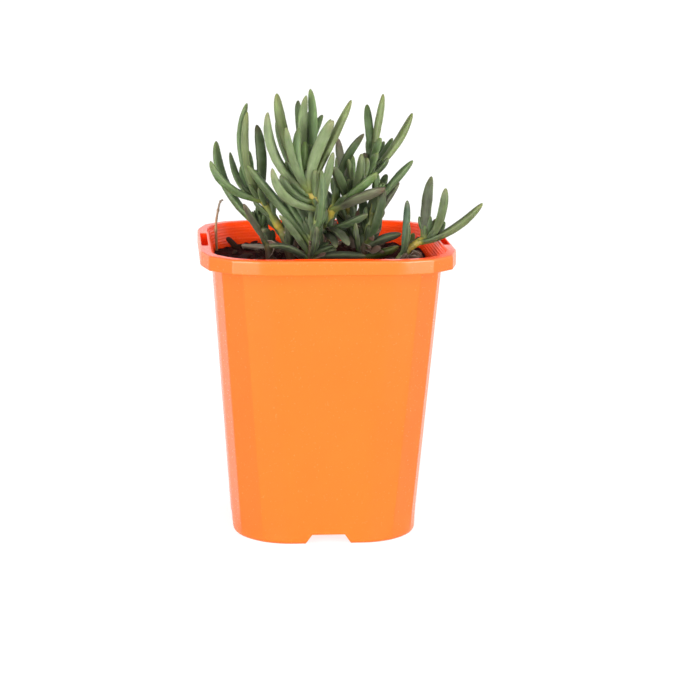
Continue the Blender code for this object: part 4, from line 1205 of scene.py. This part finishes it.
def soil_height(x, y):
    """Height of the potting mix: it rises towards the back and has a mound there.

    The rise is a smooth step, the mound falls off as a Gaussian, and the lumps are crossed waves.
    """
    lumps = 0.5 * np.sin(0.31 * x + 1.1) * np.cos(0.27 * y - 0.4)
    lumps = lumps + 0.3 * np.sin(0.63 * x - 0.52 * y + 2.0) + 0.2 * np.cos(0.9 * y + 0.7 * x)
    share = np.clip((y - SOIL_RISE_FROM) / (SOIL_RISE_TO - SOIL_RISE_FROM), 0, 1)
    rise = SOIL_RISE * share * share * (3 - 2 * share)
    away = np.hypot(x - MOUND_PLACE[0], y - MOUND_PLACE[1]) / MOUND_REACH
    return SOIL_Z + rise + MOUND_HEIGHT * np.exp(-away * away) + SOIL_ROUGHNESS * lumps


def soil_outline(z, around):
    """The inside of the pot at a height, as a rounded square of evenly turned points."""
    half, inset = body_half(z) - WALL - GAP, body_inset(z)
    corner = half - inset
    angle = np.arange(around) / around * TURN
    near = np.round(angle / (TURN / 4) - 0.5) + 0.5
    direction = np.stack([np.cos(angle), np.sin(angle)], -1)
    # The ray meets a straight side, or else the arc of its corner
    side = half / np.max(np.abs(direction), 1)
    centre = inset * math.sqrt(2) * np.stack([np.cos(near * TURN / 4), np.sin(near * TURN / 4)], -1)
    toward = (direction * centre).sum(1)
    arc = toward + np.sqrt(np.maximum(toward ** 2 - (centre ** 2).sum(1) + corner ** 2, 0))
    on_side = np.min(np.abs(direction * side[:, None]), 1) <= inset
    return direction * np.where(on_side, side, arc)[:, None]


def soil_sheet():
    """Potting mix: its top has the model's waves and crumbs of a few sizes, and its foot is plain."""
    rim = soil_outline(SOIL_Z, SOIL_AROUND)
    shares = np.concatenate([[0.004], np.linspace(0.02, 1, SOIL_RINGS)])
    flat = shares[:, None, None] * rim[None]
    x, y = flat[..., 0], flat[..., 1]
    place = np.dstack([x, y, np.zeros_like(x)])
    lumps, crumbs, grains = (
        height * waves(place, size, seed, octaves) for height, size, seed, octaves in (LUMPS, CRUMBS, GRAINS))
    crumbs = (lumps + crumbs + np.abs(grains)) * np.minimum(1, (1 - shares) * 20 + 0.4)[:, None]
    top = np.dstack([x, y, soil_height(x, y) + crumbs])
    foot = CHANNEL_DEPTH + WALL + GAP
    walls = [np.column_stack([soil_outline(z, SOIL_AROUND), np.full(SOIL_AROUND, z)]) for z in (96, 60, foot)]
    middle = np.column_stack([0.01 * walls[-1][:, :2], np.full(SOIL_AROUND, foot)])
    rings = np.array([*top, *walls, middle])[::-1]
    return closed_tube(rings, {})


def lump_sheet(place, size, turned, seed, power, rough, rings=9, around=12):
    """A rough block over (latitude, longitude): an ellipsoid squared off by `power` under 1, with dents."""
    latitude = np.linspace(-1, 1, rings) * (math.pi / 2 - 0.12)
    longitude = np.arange(around) / around * TURN

    def squared(value):
        return np.sign(value) * np.abs(value) ** power

    level = squared(np.cos(latitude))[:, None]
    unit = np.stack([
        level * squared(np.cos(longitude))[None], level * squared(np.sin(longitude))[None],
        np.repeat(squared(np.sin(latitude))[:, None], around, 1)], -1)
    shape = unit * np.array(size) / 2
    shape = shape * (1 + rough * waves(shape, max(size) * 0.6, seed, 2))[..., None]
    spun = shape @ np.array(Euler(turned).to_matrix()).T
    draw = np.random.default_rng(seed)
    fields = {
        # Bark is layered across its thickness
        "layer": (shape * (0.4, 0.4, 3.0) + draw.uniform(0, 90, 3)) * MM,
        "tint": np.full(unit.shape[:2], draw.uniform(0, 1) ** 2),
    }
    return closed_tube(spun + np.array(place), fields)


def inside_pot(x, y, half, corner):
    """Whether a point lies inside a square with rounded corners."""
    over_x, over_y = max(abs(x) - (half - corner), 0), max(abs(y) - (half - corner), 0)
    return math.hypot(over_x, over_y) < corner


def stem_holes():
    """Where each stem and the twig pass through the top of the mix."""
    holes = []
    for points in [stem_points(shoot.stem)[:4] for shoot in SHOOTS] + [TWIG_PATH[:3]]:
        path = smooth_path(points, HOLE_STEPS)
        near = path[np.argmin(abs(path[:, 2] - SOIL_Z))]
        holes.append((near[0], near[1]))
    return holes


def chip_places(holes):
    """Places for bark chips, drawn at random, clear of the stems, the pot's wall and each other."""
    rng = random.Random(CHIP_SEED)
    reach = body_half(SOIL_Z) - WALL - CHIP_FROM_WALL
    places = []
    while len(places) < CHIP_COUNT:
        x, y = rng.uniform(-reach, reach), rng.uniform(-reach, reach)
        clear = inside_pot(x, y, reach, NECK_CORNER - CHIP_FROM_WALL)
        clear = clear and all(math.hypot(x - a, y - b) > CHIP_CLEAR_OF_STEM for a, b in holes)
        clear = clear and all(math.hypot(x - a, y - b) > CHIP_SPACING for a, b in places)
        if clear:
            places.append((x, y))
    return places


def chip_sheets(holes):
    """The model's bark chips with broken faces, and many smaller ones scattered between them."""
    rng = random.Random(CHIP_SEED + 1)
    lying = FALLEN_LEAF_LENGTH / 4 * Vector((math.cos(FALLEN_TURN), math.sin(FALLEN_TURN)))
    under_leaf = [tuple(Vector(FALLEN_LEAF_FOOT) + k * lying) for k in range(5)]
    places = [(*place, False) for place in chip_places(holes + under_leaf + [STANDING_CHIP])]
    sheets = []
    for number, (x, y, standing) in enumerate(places + [(*STANDING_CHIP, True)]):
        size = (rng.uniform(*CHIP_LENGTH), rng.uniform(*CHIP_WIDTH), rng.uniform(*CHIP_THICKNESS))
        tilt = rng.uniform(-CHIP_TILT, CHIP_TILT) + (STANDING_TILT if standing else 0)
        turned = (rng.uniform(-CHIP_TILT, CHIP_TILT), tilt, rng.uniform(0, math.pi))
        # The model draws a number for each of a chip's eight corners here. These draws keep in step with it.
        for _ in range(8):
            rng.uniform(0.65, 1.0)
        z = float(soil_height(x, y)) + (STANDING_RISE * size[0] if standing else -CHIP_SINK * size[2])
        sheets.append(lump_sheet((x, y, z), size, turned, number, 0.55, 0.12, 13, 20))
    small = random.Random(CHIP_SEED + 2)
    reach = body_half(SOIL_Z) - WALL - SMALL_CHIP_FROM_WALL
    while len(sheets) < ALL_CHIPS:
        x, y = small.uniform(-reach, reach), small.uniform(-reach, reach)
        length = small.uniform(*SMALL_CHIP_LENGTH)
        size = (length, length * small.uniform(*SMALL_CHIP_WIDE), length * small.uniform(*SMALL_CHIP_THICK))
        turned = (small.uniform(-0.7, 0.7), small.uniform(-0.5, 0.5), small.uniform(0, math.pi))
        if inside_pot(x, y, reach, NECK_CORNER - SMALL_CHIP_FROM_WALL):
            z = float(soil_height(x, y)) + 0.3
            sheets.append(lump_sheet((x, y, z), size, turned, 1000 + len(sheets), 0.6, 0.15))
    return sheets


def fibre_sheets():
    """Root fibres and bark threads: thin tubes that wander over the mix and dip into it at both ends.

    A fibre's direction turns evenly, with a sine on top, and its height over the mix is half a sine.
    """
    rng = np.random.default_rng(CHIP_SEED + 3)
    reach = body_half(SOIL_Z) - WALL - FIBRE_FROM_WALL
    share = np.linspace(0, 1, FIBRE_POINTS)
    arch = np.sin(share * math.pi)
    grid = (FIBRE_POINTS, FIBRE_SIDES)
    sheets = []
    while len(sheets) < FIBRE_COUNT:
        start = rng.uniform(-reach, reach, 2)
        length = rng.uniform(*FIBRE_LENGTH)
        heading = rng.uniform(0, TURN)
        bend = rng.uniform(-FIBRE_BEND, FIBRE_BEND)
        turn = heading + bend * share + 0.5 * np.sin(share * 7 + heading)
        step = np.stack([np.cos(turn), np.sin(turn)], -1) * length / FIBRE_POINTS
        flat = start + np.cumsum(step, 0)
        if not all(inside_pot(x, y, reach, NECK_CORNER - FIBRE_FROM_WALL) for x, y in flat):
            continue
        over = 0.5 + rng.uniform(*FIBRE_HUMP) * arch - 0.8 * (share - 0.5) ** 2
        path = np.column_stack([flat, soil_height(flat[:, 0], flat[:, 1]) + over])
        radius = np.full(grid, rng.uniform(*FIBRE_RADIUS)) * (0.4 + 0.6 * arch)[:, None]
        rings = tube_rings(path, radius, FIBRE_SIDES)
        fields = {"layer": rings * MM, "tint": np.full(grid, rng.uniform(0.4, 1.0))}
        sheets.append(closed_tube(rings, fields))
    return sheets


def make_potting_mix():
    """The mix, the chips and the fibres. The mix stands for the model's own, and the rest lies in it."""
    mix = mesh_of("potting_mix_crumbly", soil_sheet())
    chips = mesh_of("bark_chips", joined(chip_sheets(stem_holes())))
    fibres = mesh_of("root_fibres", joined(fibre_sheets()))
    show("potting_mix_crumbly", mix, [damp_peat()], "potting_mix")
    bark = pine_bark()
    show("bark_chips", chips, [bark])
    show("root_fibres", fibres, [bark])


# Dry twig and fallen leaf

def make_twig():
    """A dead stalk with a hooked end: a tube that thins evenly upwards, swollen by a Gaussian at each joint.

    Its ragged skin is a sine round it and another along it.
    """
    path = smooth_path(TWIG_PATH, 12)
    count, around = len(path), 12
    share = np.linspace(0, 1, count)
    knots = sum(np.exp(-(((share - place) / KNOT_REACH) ** 2)) for place in TWIG_KNOTS)
    radius = TWIG_RADIUS * (TWIG_FOOT_SWELL - TWIG_TAPER * share) * (1 + KNOT_SWELL * knots)
    angle = np.arange(around) / around * TURN
    lobes, bumps = 0.1 * np.sin(3 * angle + 9 * share[:, None]), 0.06 * np.sin(60 * share)[:, None]
    rings = tube_rings(path, radius[:, None] * (1 + lobes + bumps), around)
    fields = {"along": np.broadcast_to(share[:, None], (count, around))}
    mesh = mesh_of("dry_twig_bark", closed_tube(rings, fields))
    show("dry_twig_bark", mesh, [dry_stalk()], "dry_twig")


def make_fallen_leaf():
    """A withered leaf that lies on the mix."""
    x, y = FALLEN_LEAF_FOOT
    leaf = Leaf(
        0, FALLEN_LEAF_HEADING, FALLEN_LEAF_LIFT, FALLEN_LEAF_CURL, FALLEN_LEAF_LENGTH, FALLEN_LEAF_WIDTH)
    reach = np.arange(FALLEN_LEAF_LENGTH + 1)
    under = soil_height(x + reach * math.cos(FALLEN_TURN), y + reach * math.sin(FALLEN_TURN))
    height = under.max() + FALLEN_LEAF_WIDTH * LEAF_THICKNESS / 2 + GAP - FALLEN_LEAF_SETTLED
    mesh = mesh_of("fallen_leaf_withered", leaf_sheet(np.array([x, y, height]), leaf, 900))
    show("fallen_leaf_withered", mesh, [withered_leaf("#5F574A", "#857F6E")], "fallen_leaf")


def make_remains():
    """Old leaves, dead and shrivelled, that still hang on the foot of each stem."""
    rng = random.Random(REMAINS_SEED)
    sheets = []
    for shoot in SHOOTS:
        path = smooth_path(stem_points(shoot.stem), STEM_STEPS)
        path = path[path[:, 2] > SOIL_Z + REMAINS_FROM]
        for _ in range(REMAINS_EACH):
            root = path[rng.randrange(0, REMAINS_ROOTS)]
            lift, curl = rng.uniform(-35, 35), rng.uniform(-100, 60)
            length, width = rng.uniform(5, 10), rng.uniform(1.6, 3.0)
            leaf = Leaf(0, rng.uniform(-100, 80), lift, curl, length, width, rng.uniform(-40, 40))
            sheets.append(leaf_sheet(root, leaf, 700 + len(sheets), 0.35, 1.0, 20, 14))
    mesh = mesh_of("withered_remains", joined(sheets))
    show("withered_remains", mesh, [withered_leaf("#241A14", "#583C2A")])


# Stage, light and camera

def make_stage():
    """A sheet of white paper under and behind the pot."""
    corners = [(x * PAPER_REACH, y * PAPER_REACH) for x, y in ((-1, -1), (1, -1), (1, 1), (-1, 1))]
    mesh = bpy.data.meshes.new("paper")
    mesh.from_pydata([(x * MM, y * MM, 0.0) for x, y in corners], [], [(0, 1, 2, 3)])
    mesh.materials.append(white_paper())
    paper = bpy.data.objects.new("paper", mesh)
    bpy.context.scene.collection.objects.link(paper)


def soft_box(name, side, watts):
    """A wide, low lamp that faces the plant from the front left, side -1, or the front right, side 1."""
    lamp = bpy.data.lights.new(name, "AREA")
    lamp.shape = "RECTANGLE"
    lamp.size = LAMP_WIDTH * MM
    lamp.size_y = LAMP_HEIGHT * MM
    lamp.energy = watts
    item = bpy.data.objects.new(name, lamp)
    bpy.context.scene.collection.objects.link(item)
    item.location = Vector((side * LAMP_OUT, -LAMP_BEFORE, LAMP_UP)) * MM
    aim = Vector(LAMP_AIM) * MM - item.location
    item.rotation_euler = aim.to_track_quat("-Z", "Y").to_euler()


def make_light():
    """A white cove that is brightest near the floor, with a soft lamp at each side of the camera."""
    world = bpy.data.worlds.new("studio")
    bpy.context.scene.world = world
    world.use_nodes = True
    tree = world.node_tree
    toward = add(tree, "SeparateXYZ", {"Vector": add(tree, "TexCoord").outputs["Generated"]}).outputs
    level = add(tree, "MapRange", {
        "Value": toward["Z"], "From Max": COVE_RISE,
        "To Min": COVE_LOW, "To Max": COVE_TOP}).outputs["Result"]
    side = add(tree, "MapRange", {
        "Value": toward["Y"], "From Min": -1.0, "To Min": COVE_FRONT, "To Max": COVE_BACK}).outputs["Result"]
    glow = add(tree, "Math", {0: level, 1: side}, operation="MULTIPLY").outputs["Value"]
    tree.links.new(glow, tree.nodes["Background"].inputs["Strength"])
    tree.nodes["Background"].inputs["Color"].default_value = (1.0, 1.0, 1.0, 1.0)
    soft_box("left_lamp", -1, LEFT_LAMP_WATTS)
    soft_box("right_lamp", 1, RIGHT_LAMP_WATTS)
    bpy.context.scene.view_settings.view_transform = "Standard"


def make_camera():
    """The photograph's viewpoint: its azimuth, its tilt down and its slight roll."""
    lens = bpy.data.cameras.new("camera")
    lens.sensor_width = SENSOR_WIDTH
    lens.lens = FOCAL_PIXELS / IMAGE_WIDTH * SENSOR_WIDTH
    lens.clip_end = SEES_TO * MM
    camera = bpy.data.objects.new("camera", lens)
    bpy.context.scene.collection.objects.link(camera)
    camera.location = Vector(CAMERA_PLACE) * MM
    turned = Matrix.Rotation(math.radians(CAMERA_AZIMUTH), 3, "Z")
    turned = turned @ Matrix.Rotation(math.radians(90 - CAMERA_DOWN), 3, "X")
    turned = turned @ Matrix.Rotation(math.radians(CAMERA_ROLL), 3, "Z")
    camera.rotation_euler = turned.to_euler()
    bpy.context.scene.camera = camera


make_camera()
make_light()
make_stage()
make_pot()
make_potting_mix()
make_shoots()
make_twig()
make_fallen_leaf()
make_remains()
